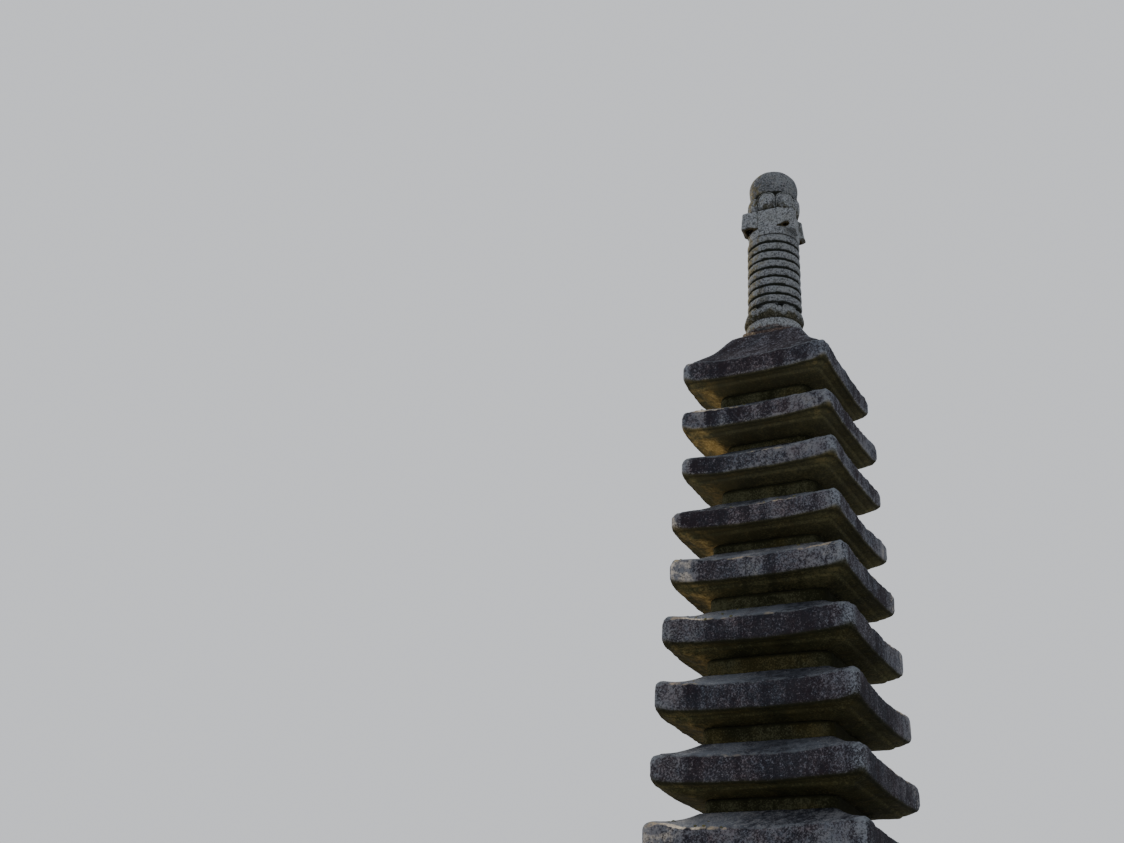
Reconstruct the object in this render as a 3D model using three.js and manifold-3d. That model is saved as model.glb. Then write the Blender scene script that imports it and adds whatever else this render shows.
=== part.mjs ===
// Thirteen-storey square stone pagoda with a ringed stone finial.
// Millimetres, +Z up. The origin is under the axis, on the face the pagoda stands on.
// Stones are laid dry, so each one is its own body and rests on the one below.
import * as THREE from 'three';
import * as BufferGeometryUtils from 'three/addons/utils/BufferGeometryUtils.js';
import Module from 'manifold-3d';

const wasm = await Module();
wasm.setup();

// Driving dimensions

// Clearance between two stones that rest on each other
const JOINT_GAP = 0.3;

// Platform, base stone and first-storey body: full width and height
const PLATFORM = { width: 1240, height: 185, slabThickness: 310 };
const BASE_STONE = { width: 880, height: 330 };
const FIRST_BODY = { width: 690, cornerRadius: 34 };

// Height of the lowest eaves at their corners, above the ground
const LOWEST_EAVES = 1176;

// Storeys from the ground up: full width over the eaves, thickness of the eaves at mid-side, how
// much thicker they are at the corners, full width of the body below, rise to the next eaves,
// and how far the stones were laid off the axis and turned. The lowest body has its own size.
const STOREYS = [
  { width: 1126, eaves: 146, corner: 12, pitch: 359, shift: 0, turn: 0.2 },
  { width: 1094, eaves: 143, corner: 14, body: 700, pitch: 348, shift: -4, turn: -0.2 },
  { width: 1062, eaves: 140, corner: 10, body: 678, pitch: 337, shift: 1, turn: 0.3 },
  { width: 1030, eaves: 136, corner: 12, body: 655, pitch: 326, shift: -4, turn: 0.1 },
  { width: 998, eaves: 132, corner: 18, body: 632, pitch: 313, shift: -7, turn: 0.2 },
  { width: 962, eaves: 129, corner: 6, body: 610, pitch: 316, shift: -3, turn: 0.4 },
  { width: 938, eaves: 128, corner: 20, body: 612, pitch: 315, shift: -6, turn: 0.8 },
  { width: 899, eaves: 124, corner: 18, body: 596, pitch: 299, shift: -1, turn: 0.5 },
  { width: 851, eaves: 116, corner: 12, body: 570, pitch: 268, shift: 2, turn: 0 },
  { width: 826, eaves: 106, corner: 10, body: 536, pitch: 286, shift: -7, turn: -0.3 },
  { width: 775, eaves: 104, corner: 4, body: 490, pitch: 249, shift: 7, turn: -0.8 },
  { width: 768, eaves: 108, corner: 4, body: 436, pitch: 267, shift: 2, turn: -1.2 },
  { width: 747, eaves: 112, corner: 4, body: 470, pitch: 0, shift: -10, turn: 0 },
];

// Roof stone shape: upturn of the eaves at the corners, flat lip and raised field of the soffit,
// slope of the top, and rounding of the worn corners in plan
const EAVES_UPTURN = 21;
const UPTURN_POWER = 2.6;
const LIP_SHARE = 0.065;
const FIELD_STEP = 12;
const FIELD_SLOPE = 15;
const TOP_SLOPE = 0.5;
const TOP_CONCAVITY = 0.2;
const ARRIS_ROUND = 10;
const EAVES_CORNER_RADIUS = 20;

// Bodies between the roofs: rounding of their upright corners, and the ledge round their foot
const BODY_CORNER_RADIUS = 42;
const BODY_LEDGE = 8;

// Highest roof: steeper slope up to the flat that carries the finial
const CROWN = { half: 150, rise: 233 };

// Finial, from the dew basin up. It leans a little, so each piece has its own shift.
const BASIN = { half: 136, height: 30, cornerRadius: 12, shift: -12 };
const BOWL = { height: 60, bottomRadius: 152, topRadius: 143, shift: -17 };
const LOWER_LOTUS = { height: 90, bottomRadius: 155, topRadius: 133, petals: 8, seam: 10, shift: -17 };
const RINGS = { count: 8, pitch: 53.5, radius: 139, taper: 5, groove: 9, grooveDepth: 10, shift: -12 };
const COLLAR = { height: 166, radius: 135, shift: -8, turn: -4 };
const LUG = {
  reach: 166, width: 72, foot: 54, top: 160, shoulder: 26, undercut: 16, wall: 12, hollowDepth: 24,
};
const UPPER_LOTUS = { height: 95, bottomRadius: 130, topRadius: 142, petals: 8, seam: 10, shift: -5 };
const JEWEL = { height: 192, radius: 130, beltHeight: 86, baseRadius: 108, shift: -5 };

// Resolution of curves
const CORNER_STEPS = 2;
const SIDE_STOPS = [-0.86, -0.55, 0, 0.55, 0.86];
const ROUND_STEPS = 32;
const DOME_STEPS = 7;

const CORNER_SIGNS = [[1, -1], [1, 1], [-1, 1], [-1, -1]];
const LAYING_DIRECTION = new THREE.Vector2(0.949, 0.315);

// Stone colours by piece
const COLOURS = {
  platform: 0x77766f,
  base: 0x6d6c66,
  body: 0x4a4a42,
  roof: 0x53545a,
  finial: 0x6c7069,
};

function stone(colour) {
  return new THREE.MeshStandardMaterial({ color: colour, roughness: 0.93, metalness: 0 });
}

// Square outline with rounded corners, from the near right corner round; every outline
// has the same number of points, so outlines at different heights join up point for point
function squareOutline(half, cornerRadius) {
  const points = [];
  const inner = half - cornerRadius;
  CORNER_SIGNS.forEach(([signX, signY], corner) => {
    const start = -Math.PI / 2 + corner * Math.PI / 2;
    for (let step = 0; step <= CORNER_STEPS; step += 1) {
      const angle = start + (step / CORNER_STEPS) * Math.PI / 2;
      points.push(new THREE.Vector2(
        signX * inner + cornerRadius * Math.cos(angle),
        signY * inner + cornerRadius * Math.sin(angle),
      ));
    }
    const [nextX, nextY] = CORNER_SIGNS[(corner + 1) % CORNER_SIGNS.length];
    const outward = new THREE.Vector2((signX + nextX) / 2, (signY + nextY) / 2);
    const along = new THREE.Vector2((nextX - signX) / 2, (nextY - signY) / 2);
    SIDE_STOPS.forEach((stop) => {
      points.push(outward.clone().multiplyScalar(half).addScaledVector(along, stop * inner));
    });
  });
  return points;
}

// Round outline with the same kind of points
function roundOutline(radiusAt) {
  return Array.from({ length: ROUND_STEPS }, (_, step) => {
    const angle = (step / ROUND_STEPS) * Math.PI * 2;
    const radius = radiusAt(angle);
    return new THREE.Vector2(radius * Math.cos(angle), radius * Math.sin(angle));
  });
}

// Closed body through a stack of outlines, each with a height or a height for every point
function stackedBody(levels) {
  const count = levels[0].outline.length;
  const positions = [];
  levels.forEach(({ outline, height }) => {
    outline.forEach((point) => {
      positions.push(point.x, point.y, typeof height === 'function' ? height(point) : height);
    });
  });
  const indices = [];
  for (let level = 0; level + 1 < levels.length; level += 1) {
    for (let i = 0; i < count; i += 1) {
      const a = level * count + i;
      const b = level * count + ((i + 1) % count);
      indices.push(a, b, b + count, a, b + count, a + count);
    }
  }
  const top = (levels.length - 1) * count;
  for (let i = 1; i + 1 < count; i += 1) {
    indices.push(0, i + 1, i);
    indices.push(top, top + i, top + i + 1);
  }
  const geometry = new THREE.BufferGeometry();
  geometry.setAttribute('position', new THREE.Float32BufferAttribute(positions, 3));
  geometry.setIndex(indices);
  geometry.computeVertexNormals();
  return geometry;
}

// Straight block with rounded upright edges, and an optional narrower top
function block(half, cornerRadius, height, topHalf = half) {
  return stackedBody([
    { outline: squareOutline(half, cornerRadius), height: 0 },
    { outline: squareOutline(topHalf, cornerRadius), height },
  ]);
}

// Turned body from a profile of [radius, height] pairs, closed at the axis at both ends
function turned(profile) {
  const points = profile.map(([radius, height]) => new THREE.Vector2(radius, height));
  points.unshift(new THREE.Vector2(0, profile[0][1]));
  points.push(new THREE.Vector2(0, profile[profile.length - 1][1]));
  const geometry = new THREE.LatheGeometry(points, ROUND_STEPS);
  geometry.rotateX(Math.PI / 2);
  return geometry;
}

// Conversions for the one piece that is joined from several
function toSolid(geometry) {
  const bare = geometry.clone();
  bare.deleteAttribute('normal');
  bare.deleteAttribute('uv');
  const merged = BufferGeometryUtils.mergeVertices(bare, 1e-3);
  const index = merged.index.array;
  const kept = [];
  for (let i = 0; i < index.length; i += 3) {
    const [a, b, c] = [index[i], index[i + 1], index[i + 2]];
    if (a !== b && b !== c && c !== a) {
      kept.push(a, b, c);
    }
  }
  return new wasm.Manifold(new wasm.Mesh({
    numProp: 3,
    vertProperties: Float32Array.from(merged.attributes.position.array),
    triVerts: Uint32Array.from(kept),
  }));
}

function toGeometry(solid) {
  const mesh = solid.getMesh();
  const geometry = new THREE.BufferGeometry();
  geometry.setAttribute('position', new THREE.BufferAttribute(mesh.vertProperties, 3));
  geometry.setIndex(new THREE.BufferAttribute(mesh.triVerts, 1));
  geometry.computeVertexNormals();
  return geometry;
}

// Share of the way from mid-side to corner, 0 to 1, at a point on a square of this half width
function cornerShare(point, half) {
  return Math.min(1, Math.min(Math.abs(point.x), Math.abs(point.y)) / half);
}

// Roof stone. Its zero height is the lower edge of the eaves at mid-side.
// The soffit steps down from a flat lip to a raised field that slopes to the body below.
function roofStone({ half, eaves, corner, bodyHalf, topHalf, rise }) {
  const lip = half - 2 * half * LIP_SHARE;
  const upturn = (size, rimLift) => (point) => rimLift * cornerShare(point, size) ** UPTURN_POWER;
  const lift = (size, base, share = 1) => (point) => (
    base + upturn(size, share * (EAVES_UPTURN + corner))(point)
  );
  const radius = EAVES_CORNER_RADIUS;
  const slope = [0.25, 0.6].map((run) => {
    const size = half - ARRIS_ROUND - run * (half - ARRIS_ROUND - topHalf);
    const height = eaves + rise * ((1 - TOP_CONCAVITY) * run + TOP_CONCAVITY * run ** 2);
    return { outline: squareOutline(size, radius), height: lift(size, height, (1 - run) ** 2) };
  });
  return stackedBody([
    { outline: squareOutline(bodyHalf, radius), height: -FIELD_STEP - FIELD_SLOPE },
    { outline: squareOutline(lip - FIELD_STEP, radius), height: -FIELD_STEP },
    { outline: squareOutline(lip, radius), height: 0 },
    { outline: squareOutline(half, radius), height: upturn(half, EAVES_UPTURN) },
    { outline: squareOutline(half, radius), height: lift(half, eaves - ARRIS_ROUND) },
    { outline: squareOutline(half - ARRIS_ROUND, radius), height: lift(half - ARRIS_ROUND, eaves) },
    ...slope,
    { outline: squareOutline(topHalf, radius), height: eaves + rise },
  ]);
}

// Lotus ring: a round block whose rim swells at each petal and narrows at each seam
function lotus({ height, bottomRadius, topRadius, petals, seam }) {
  const petalled = (radius) => roundOutline((angle) => (
    radius - seam * (1 - Math.abs(Math.cos((angle * petals) / 2))) ** 2
  ));
  const bulge = Math.max(bottomRadius, topRadius);
  const shape = [[0, 0], [0.35, 0.75], [0.7, 1], [1, 0.8]];
  const opening = topRadius > bottomRadius;
  return stackedBody(shape.map(([run, fullness]) => {
    const narrow = Math.min(bottomRadius, topRadius);
    const radius = narrow + (bulge - narrow) * (opening ? fullness : 1 - run ** 2);
    return { outline: petalled(radius), height: height * run };
  }));
}

function invertedBowl() {
  const { height, bottomRadius, topRadius } = BOWL;
  return turned([
    [bottomRadius, 0],
    [bottomRadius, height * 0.4],
    [(bottomRadius + topRadius) / 2, height * 0.85],
    [topRadius - 4, height],
  ]);
}

// Shaft whose rings are parted by V-shaped grooves
function ringShaft() {
  const { count, pitch, radius, taper, groove, grooveDepth } = RINGS;
  const profile = [[radius - grooveDepth, 0]];
  for (let ring = 0; ring < count; ring += 1) {
    const reach = radius - (taper * ring) / (count - 1);
    profile.push([reach, ring * pitch + groove], [reach, (ring + 1) * pitch - groove]);
    profile.push([reach - grooveDepth, (ring + 1) * pitch]);
  }
  return turned(profile);
}

// Side view of a lug: a sloping shoulder on top and an underside that rises outwards
function lugProfile() {
  const { radius } = COLLAR;
  const { reach, foot: lugFoot, top, shoulder, undercut } = LUG;
  return new THREE.Shape([
    new THREE.Vector2(0, lugFoot),
    new THREE.Vector2(radius, lugFoot),
    new THREE.Vector2(reach, lugFoot + undercut),
    new THREE.Vector2(reach, top - shoulder),
    new THREE.Vector2((radius + reach) / 2, top - shoulder / 4),
    new THREE.Vector2(radius, top),
    new THREE.Vector2(0, top),
  ]);
}

// Collar with four lugs on the diagonals, hollow on their undersides
function lugCollar() {
  const { height, radius } = COLLAR;
  const { reach, width, foot: lugFoot, undercut, wall, hollowDepth } = LUG;
  let solid = toSolid(turned([[radius, 0], [radius, height]]));
  const hollowReach = reach - wall - radius;
  const hollowHeight = 2 * (hollowDepth + undercut);
  CORNER_SIGNS.forEach(([signX, signY]) => {
    const angle = Math.atan2(signY, signX);
    const lug = new THREE.ExtrudeGeometry(lugProfile(), { depth: width, bevelEnabled: false });
    lug.translate(0, 0, -width / 2);
    lug.rotateX(Math.PI / 2);
    lug.rotateZ(angle);
    const hollow = new THREE.BoxGeometry(hollowReach, width - 2 * wall, hollowHeight);
    hollow.translate(radius + hollowReach / 2, 0, lugFoot);
    hollow.rotateZ(angle);
    solid = solid.add(toSolid(lug)).subtract(toSolid(hollow));
  });
  return toGeometry(solid);
}

// Dome over a belt that draws in towards the lotus
function jewel() {
  const { height, radius, beltHeight, baseRadius } = JEWEL;
  const profile = [[baseRadius, 0], [(baseRadius + 2 * radius) / 3, beltHeight * 0.4]];
  for (let step = 0; step < DOME_STEPS; step += 1) {
    const angle = (step / DOME_STEPS) * Math.PI / 2;
    profile.push([
      radius * Math.cos(angle),
      beltHeight + (height - beltHeight) * Math.sin(angle),
    ]);
  }
  profile.push([radius / 12, height]);
  return turned(profile);
}

const pagoda = new THREE.Group();

function place(name, geometry, colour, height, shift = 0, turn = 0) {
  const mesh = new THREE.Mesh(geometry, stone(colour));
  mesh.name = name;
  mesh.position.set(LAYING_DIRECTION.x * shift, LAYING_DIRECTION.y * shift, height);
  mesh.rotation.z = THREE.MathUtils.degToRad(turn);
  pagoda.add(mesh);
  return mesh;
}

// Platform of four slabs laid in a pinwheel round the middle
function platform() {
  const { width, height, slabThickness } = PLATFORM;
  const half = width / 2;
  const length = width - slabThickness - JOINT_GAP;
  ['front', 'right', 'back', 'left'].forEach((side, index) => {
    const slab = new THREE.BoxGeometry(length, slabThickness, height);
    slab.translate(half - length / 2 - slabThickness - JOINT_GAP, -half + slabThickness / 2, height / 2);
    slab.rotateZ(index * Math.PI / 2);
    place(`platform_slab_${side}`, slab, COLOURS.platform, 0);
  });
  const core = new THREE.BoxGeometry(
    width - 2 * (slabThickness + JOINT_GAP),
    width - 2 * (slabThickness + JOINT_GAP),
    height,
  );
  core.translate(0, 0, height / 2);
  place('platform_core', core, COLOURS.platform, 0);
}

function foot() {
  platform();
  const baseHeight = PLATFORM.height + JOINT_GAP;
  place('base_stone', block(BASE_STONE.width / 2, 12, BASE_STONE.height), COLOURS.base, baseHeight);
  const bodyFloor = baseHeight + BASE_STONE.height + JOINT_GAP;
  const soffit = LOWEST_EAVES - EAVES_UPTURN - FIELD_STEP - FIELD_SLOPE;
  const body = block(FIRST_BODY.width / 2, FIRST_BODY.cornerRadius, soffit - JOINT_GAP - bodyFloor);
  place('first_storey_body', body, COLOURS.body, bodyFloor);
}

function storeys() {
  let cornerHeight = LOWEST_EAVES;
  let top = 0;
  STOREYS.forEach((storey, index) => {
    const number = String(index + 1).padStart(2, '0');
    const last = index === STOREYS.length - 1;
    const half = storey.width / 2;
    const bodyHalf = (index === 0 ? FIRST_BODY.width : storey.body) / 2;
    const edge = cornerHeight - EAVES_UPTURN;
    const topHalf = last ? CROWN.half : STOREYS[index + 1].body / 2 + BODY_LEDGE;
    const rise = last ? CROWN.rise : TOP_SLOPE * (half - topHalf);
    const roof = roofStone({
      half,
      eaves: storey.eaves,
      corner: storey.corner,
      bodyHalf: bodyHalf + BODY_LEDGE / 2,
      topHalf,
      rise,
    });
    if (index > 0) {
      const soffit = edge - FIELD_STEP - FIELD_SLOPE;
      const body = block(bodyHalf, BODY_CORNER_RADIUS, soffit - top - 2 * JOINT_GAP);
      place(`body_${number}`, body, COLOURS.body, top + JOINT_GAP, storey.shift, storey.turn);
    }
    place(`roof_${number}`, roof, COLOURS.roof, edge, storey.shift, storey.turn);
    top = edge + storey.eaves + rise;
    cornerHeight += storey.pitch;
  });
  return top;
}

function finial(floor) {
  const pieces = [
    ['dew_basin', block(BASIN.half, BASIN.cornerRadius, BASIN.height, BASIN.half - 4), BASIN],
    ['finial_bowl', invertedBowl(), BOWL],
    ['finial_lower_lotus', lotus(LOWER_LOTUS), LOWER_LOTUS],
    ['finial_ring_shaft', ringShaft(), { ...RINGS, height: RINGS.count * RINGS.pitch }],
    ['finial_lug_collar', lugCollar(), COLLAR],
    ['finial_upper_lotus', lotus(UPPER_LOTUS), UPPER_LOTUS],
    ['finial_jewel', jewel(), JEWEL],
  ];
  let base = floor + JOINT_GAP;
  pieces.forEach(([name, geometry, { height, shift, turn = 0 }]) => {
    place(name, geometry, COLOURS.finial, base, shift, turn);
    base += height + JOINT_GAP;
  });
}

foot();
finial(storeys());

export default pagoda;
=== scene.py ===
"""Looks of a thirteen-storey stone pagoda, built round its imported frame."""
import math
import random

import bmesh
import bpy
from mathutils import Matrix, Vector, noise


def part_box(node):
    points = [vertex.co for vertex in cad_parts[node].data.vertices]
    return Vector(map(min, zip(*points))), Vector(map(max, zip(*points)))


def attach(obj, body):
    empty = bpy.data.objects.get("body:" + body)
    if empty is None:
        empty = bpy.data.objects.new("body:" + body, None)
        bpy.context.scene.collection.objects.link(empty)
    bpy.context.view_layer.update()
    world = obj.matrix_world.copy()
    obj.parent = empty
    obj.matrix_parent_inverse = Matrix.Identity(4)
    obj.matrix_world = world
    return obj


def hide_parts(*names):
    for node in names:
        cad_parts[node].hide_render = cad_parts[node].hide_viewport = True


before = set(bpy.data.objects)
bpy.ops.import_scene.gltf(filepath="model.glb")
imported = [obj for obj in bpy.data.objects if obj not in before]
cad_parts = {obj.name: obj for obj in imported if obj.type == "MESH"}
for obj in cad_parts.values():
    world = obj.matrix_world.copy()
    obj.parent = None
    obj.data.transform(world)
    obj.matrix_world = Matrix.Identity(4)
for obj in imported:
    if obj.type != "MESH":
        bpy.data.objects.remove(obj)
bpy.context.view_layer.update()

# Viewpoint at eye height, looking up past the near right corner of the roofs
EYE = (2.048, -6.169, 1.611)
LENS_MM = 45.0
SENSOR_MM = 36.0
PITCH = math.radians(25.61)
ROLL = math.radians(2.83)
HEADING = math.radians(28.15)

# Sides of a square stone, and its near, right, back and left corner as the signs of x and y
SIDES = ("front", "right", "back", "left")
CORNERS = ((1, -1), (1, 1), (-1, 1), (-1, -1))

# Roof stones from the ground up: the turn in degrees, how far the corners rise above the even
# upturn of the upper edge, and how much more or less the near, right, back and left corner of some
# roofs rise than that, in millimetres
ROOF_TURNS = (0.2, -0.2, 0.3, 0.1, 0.2, 0.4, 0.8, 0.5, 0, -0.3, -0.8, -1.2, 0)
CORNER_RISE = (12, 14, 10, 12, 18, 6, 20, 18, 12, 10, 4, 4, 4)
CORNER_WEAR = {
    "roof_05": (-8, 0, 0, 4), "roof_07": (-4, 0, 0, 0), "roof_08": (-14, 0, 0, 2),
    "roof_09": (-5, 4, 0, 0), "roof_10": (-6, 6, 0, -10), "roof_12": (-4, 0, 0, 0),
    "roof_13": (0, 0, 0, 6),
}

# Roof stone section, in metres
EAVES_UPTURN = 0.021
UPTURN_POWER = 2.6
LIP_SHARE = 0.065
FIELD_STEP = 0.012
FIELD_SLOPE = 0.015
TOP_SLOPE = 0.5
TOP_CONCAVITY = 0.2
CROWN_RISE = 0.233
CROWN_SHOULDER = 0.022
ARRIS = 0.015
FOOT_ARRIS = 0.011
CORNER_ARRIS = 0.018
CORNER_FOOT_ARRIS = 0.015
LOW_WAVER = 0.005
TOP_WAVER = 0.004
EAVES_CORNER_RADIUS = 0.02
WORN_CORNER_RADIUS = 0.027
BODY_CORNER_RADIUS = 0.042
WORN_BODY_CORNER_RADIUS = 0.056
FIRST_BODY_CORNER_RADIUS = 0.034
BLOCK_CORNER_RADIUS = 0.012
SOFFIT_MARGIN = 0.004
BODY_MARGIN = 0.008
BASIN_MARGIN = 0.014
# Height of the painted shadow line along the top of each body
SEAM_SHADOW_HEIGHT = 0.016

# Distances within which doubled points of a mesh and the seams of a made ring are merged
POINT_MERGE = 0.00005
SEAM_MERGE = 0.0002

# Depths of the weathering of each kind of stone, in metres, and how close its waves lie
WEAR = {
    "roof": {"Unevenness": 0.0022, "Tooling": 0.0009, "Rim wear": 0.007, "Chip depth": 0.010},
    "body": {"Unevenness": 0.0018, "Tooling": 0.001, "Rim wear": 0.003, "Chip depth": 0.004},
    "first body": {"Unevenness": 0.002, "Tooling": 0.0011, "Rim wear": 0.005, "Chip depth": 0.008},
    "foot": {"Unevenness": 0.003, "Tooling": 0.0014, "Rim wear": 0.008, "Chip depth": 0.014},
    "basin": {"Unevenness": 0.002, "Tooling": 0.0016, "Rim wear": 0.005, "Chip depth": 0.007},
    "finial": {"Unevenness": 0.0014, "Tooling": 0.0009, "Unevenness per metre": 9.0,
               "Rim wear": 0.003, "Chip depth": 0.005},
}
WEAR["shaft"] = {**WEAR["finial"], "Unevenness": 0.0022, "Unevenness per metre": 13.0, "Tooling": 0.0012}
WEAR["jewel"] = {**WEAR["finial"], "Unevenness": 0.002}

# Marks that the weathering and the finishes read from a stone's surface
MARKS = ("rim", "crest", "under", "slope", "seat", "corner", "soot", "pale", "crust", "groove", "lot",
         "ochre", "earth", "washed", "cool")

# Stains on the front faces, as (place, half width, strength), with place and width in shares of
# the half side: soot is near black, pale is grey lichen (bleached to cream above 1), crust is cream
# lichen on the upper rim, washed is a painted patch of sunlight on the upper slope
SOOT = {
    "roof_13": ((-0.35, 0.5, 0.7), (0.34, 0.09, 0.7), (0.66, 0.17, 0.5), (0.2, 0.6, 0.3)),
    "roof_12": ((-0.56, 0.1, 0.75), (-0.25, 0.12, 0.85), (0.18, 0.06, 0.6), (0.43, 0.05, 0.4)),
    "roof_11": ((-0.61, 0.24, 1.0), (-0.2, 0.06, 0.4)),
    "roof_10": ((-0.55, 0.31, 0.9), (-0.1, 0.09, 0.6), (0.6, 0.25, 0.35)),
    "roof_09": ((-0.43, 0.18, 0.55), (0.19, 0.05, 0.9)),
    "roof_08": ((-0.41, 0.13, 0.8), (0.35, 0.42, 0.85), (0.0, 1.0, 0.45)),
    "roof_07": ((-0.6, 0.07, 0.75), (0.38, 0.3, 0.75), (0.1, 0.9, 0.4)),
    "roof_06": ((-0.85, 0.05, 0.6), (-0.56, 0.11, 0.8), (0.39, 0.29, 0.75), (0.1, 0.9, 0.45)),
    "roof_05": ((0.4, 0.25, 0.35),),
}
PALE = {
    "roof_13": ((-0.95, 0.07, 0.6), (0.45, 0.06, 0.3), (0.85, 0.1, 0.3)),
    "roof_12": ((-0.75, 0.1, 0.7), (-0.41, 0.05, 0.5), (0.04, 0.1, 0.5), (0.72, 0.3, 0.7)),
    "roof_11": ((-0.93, 0.07, 1.0), (0.4, 0.6, 0.65)),
    "roof_10": ((-0.97, 0.09, 1.3), (0.2, 0.2, 0.3), (0.85, 0.1, 0.4)),
    "roof_09": ((-1.0, 0.12, 1.6), (-0.85, 0.2, 1.15), (-0.04, 0.18, 0.7), (0.75, 0.25, 0.8)),
    "roof_08": ((-0.8, 0.3, 0.7), (-0.1, 0.2, 0.15)),
    "roof_07": ((-0.85, 0.25, 0.6), (0.0, 0.25, 0.2)),
    "roof_06": ((-0.8, 0.25, 0.6), (-0.2, 0.2, 0.2)),
    "roof_05": ((-0.85, 0.25, 1.1), (-0.1, 0.8, 0.4), (0.75, 0.3, 0.6)),
}
SLOPE_SUN_PATCHES = {
    "roof_13": (), "roof_12": ((-0.6, 0.3, 0.6),), "roof_11": ((-0.5, 0.3, 0.4),),
    "roof_09": ((-0.5, 0.6, 0.6), (0.2, 0.5, 0.5)),
    "roof_08": ((-0.5, 0.35, 1.0), (0.05, 0.25, 0.5)),
    "roof_07": ((-0.55, 0.35, 0.9),),
    "roof_06": ((-0.5, 0.3, 0.6), (0.6, 0.3, 0.35)),
    "roof_05": ((-0.55, 0.35, 1.0),),
}
CRUST = {
    "roof_13": ((-0.9, 0.1, 0.4),),
    "roof_12": ((-0.62, 0.17, 2.0), (-0.3, 0.1, 0.7)),
    "roof_10": ((-0.4, 0.2, 0.6), (0.27, 0.25, 0.9)),
    "roof_09": ((-0.23, 0.22, 0.8), (-0.05, 0.05, 1.8), (-0.95, 0.1, 0.9), (0.7, 0.25, 0.8)),
    "roof_08": ((-0.65, 0.2, 1.7), (-0.3, 0.15, 0.9), (0.2, 0.1, 0.5)),
    "roof_07": ((-0.64, 0.25, 0.7),),
    "roof_06": ((-0.3, 0.4, 0.35),),
    "roof_05": ((-0.65, 0.25, 1.7), (-0.3, 0.1, 0.7)),
}
STAINS = {"soot": SOOT, "pale": PALE, "crust": CRUST, "washed": SLOPE_SUN_PATCHES}

# How many stains and painted sun patches of each kind a side has where none are listed, and the strength of
# the strongest
STAIN_LOTS = {"soot": (3, 0.9), "pale": (2, 0.5), "crust": (2, 0.8), "washed": (2, 0.6)}

# Grime and pale lichen of the right faces, as the strength on the near part and on the far end;
# the grime of roof_05 is painted shade over its whole right face
RIGHT_FACES = {
    "roof_05": (1.3, 0.0), "roof_06": (0.7, 0.9), "roof_07": (0.8, 0.8), "roof_08": (0.5, 0.9),
    "roof_09": (0.5, 1.2), "roof_10": (0.1, 1.0), "roof_11": (0.0, 0.7),
}

# Strength of the ochre algae and the painted warm light that comes in under the left end of each roof
OCHRE_AND_GLOW_UNDER = {
    "roof_13": 0.65, "roof_12": 1.2, "roof_11": 0.25, "roof_10": 0.5, "roof_09": 0.55,
    "roof_08": 0.3, "roof_07": 0.25, "roof_06": 0.1, "roof_05": 0.1,
}

ROOFS = [f"roof_{number:02d}" for number in range(1, 14)]
BODIES = [f"body_{number:02d}" for number in range(2, 14)]


def show(name, data):
    """Put a mesh, a light or a camera in the scene as an object."""
    made = bpy.data.objects.new(name, data)
    bpy.context.collection.objects.link(made)
    return made


def add_camera():
    """Put the camera at the viewer's eye, tipped up and slightly rolled."""
    data = bpy.data.cameras.new("viewer")
    data.lens = LENS_MM
    data.sensor_width = SENSOR_MM
    data.sensor_fit = "HORIZONTAL"
    data.clip_start = 0.05
    data.clip_end = 60.0
    camera = show("viewer", data)
    turn = Matrix.Rotation(HEADING, 4, "Z") @ Matrix.Rotation(math.pi / 2 + PITCH, 4, "X")
    camera.matrix_world = Matrix.Translation(EYE) @ turn @ Matrix.Rotation(ROLL, 4, "Z")
    bpy.context.scene.camera = camera


def add_light(name, place, target, size, power, colour, spread=180):
    """Add one large soft area light that faces the target and fans out by the given degrees."""
    data = bpy.data.lights.new(name, "AREA")
    data.shape = "DISK"
    data.size = size
    data.energy = power
    data.spread = math.radians(spread)
    data.color = colour
    light = show(name, data)
    aim = (Vector(target) - Vector(place)).to_track_quat("-Z", "Y")
    light.matrix_world = Matrix.Translation(place) @ aim.to_matrix().to_4x4()


def add_sky(colour, strength):
    """Light the scene evenly from a plain pale surround."""
    world = bpy.data.worlds.new("studio")
    world.use_nodes = True
    back = world.node_tree.nodes["Background"]
    back.inputs["Color"].default_value = (*colour, 1)
    back.inputs["Strength"].default_value = strength
    bpy.context.scene.world = world


def add_floor(half, colour):
    """Lay the plain pale floor that the pagoda stands on."""
    mesh = bpy.data.meshes.new("studio_floor")
    mesh.from_pydata([(x * half, y * half, -0.001) for x, y in CORNERS], [], [(3, 0, 1, 2)])
    floor = show("studio_floor", mesh)
    material = bpy.data.materials.new("studio_floor")
    material.use_nodes = True
    surface = material.node_tree.nodes["Principled BSDF"]
    surface.inputs["Base Color"].default_value = (*colour, 1)
    surface.inputs["Roughness"].default_value = 0.9
    mesh.materials.append(material)


# Node tools

def place_node(tree, kind, inputs=None, **settings):
    """Add a node, set its options, and fill its inputs with values or links."""
    made = tree.nodes.new(kind)
    for key, value in settings.items():
        setattr(made, key, value)
    for key, value in (inputs or {}).items():
        if isinstance(value, bpy.types.NodeSocket):
            tree.links.new(value, made.inputs[key])
        else:
            made.inputs[key].default_value = value
    return made


def node_value(tree, kind, inputs=None, **settings):
    """Add a node, and return its first output."""
    return place_node(tree, kind, inputs, **settings).outputs[0]


def calc(tree, operation, *values, clamp=False):
    """One step of arithmetic on numbers or sockets."""
    return node_value(tree, "ShaderNodeMath", dict(enumerate(values)),
                      operation=operation, use_clamp=clamp)


def total(tree, first, *rest):
    """Sum of several values."""
    for value in rest:
        first = calc(tree, "ADD", first, value)
    return first


def less(tree, first, *rest):
    """First value less all the others."""
    for value in rest:
        first = calc(tree, "SUBTRACT", first, value)
    return first


def product(tree, first, *rest):
    """Product of several values."""
    for value in rest:
        first = calc(tree, "MULTIPLY", first, value)
    return first


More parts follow.
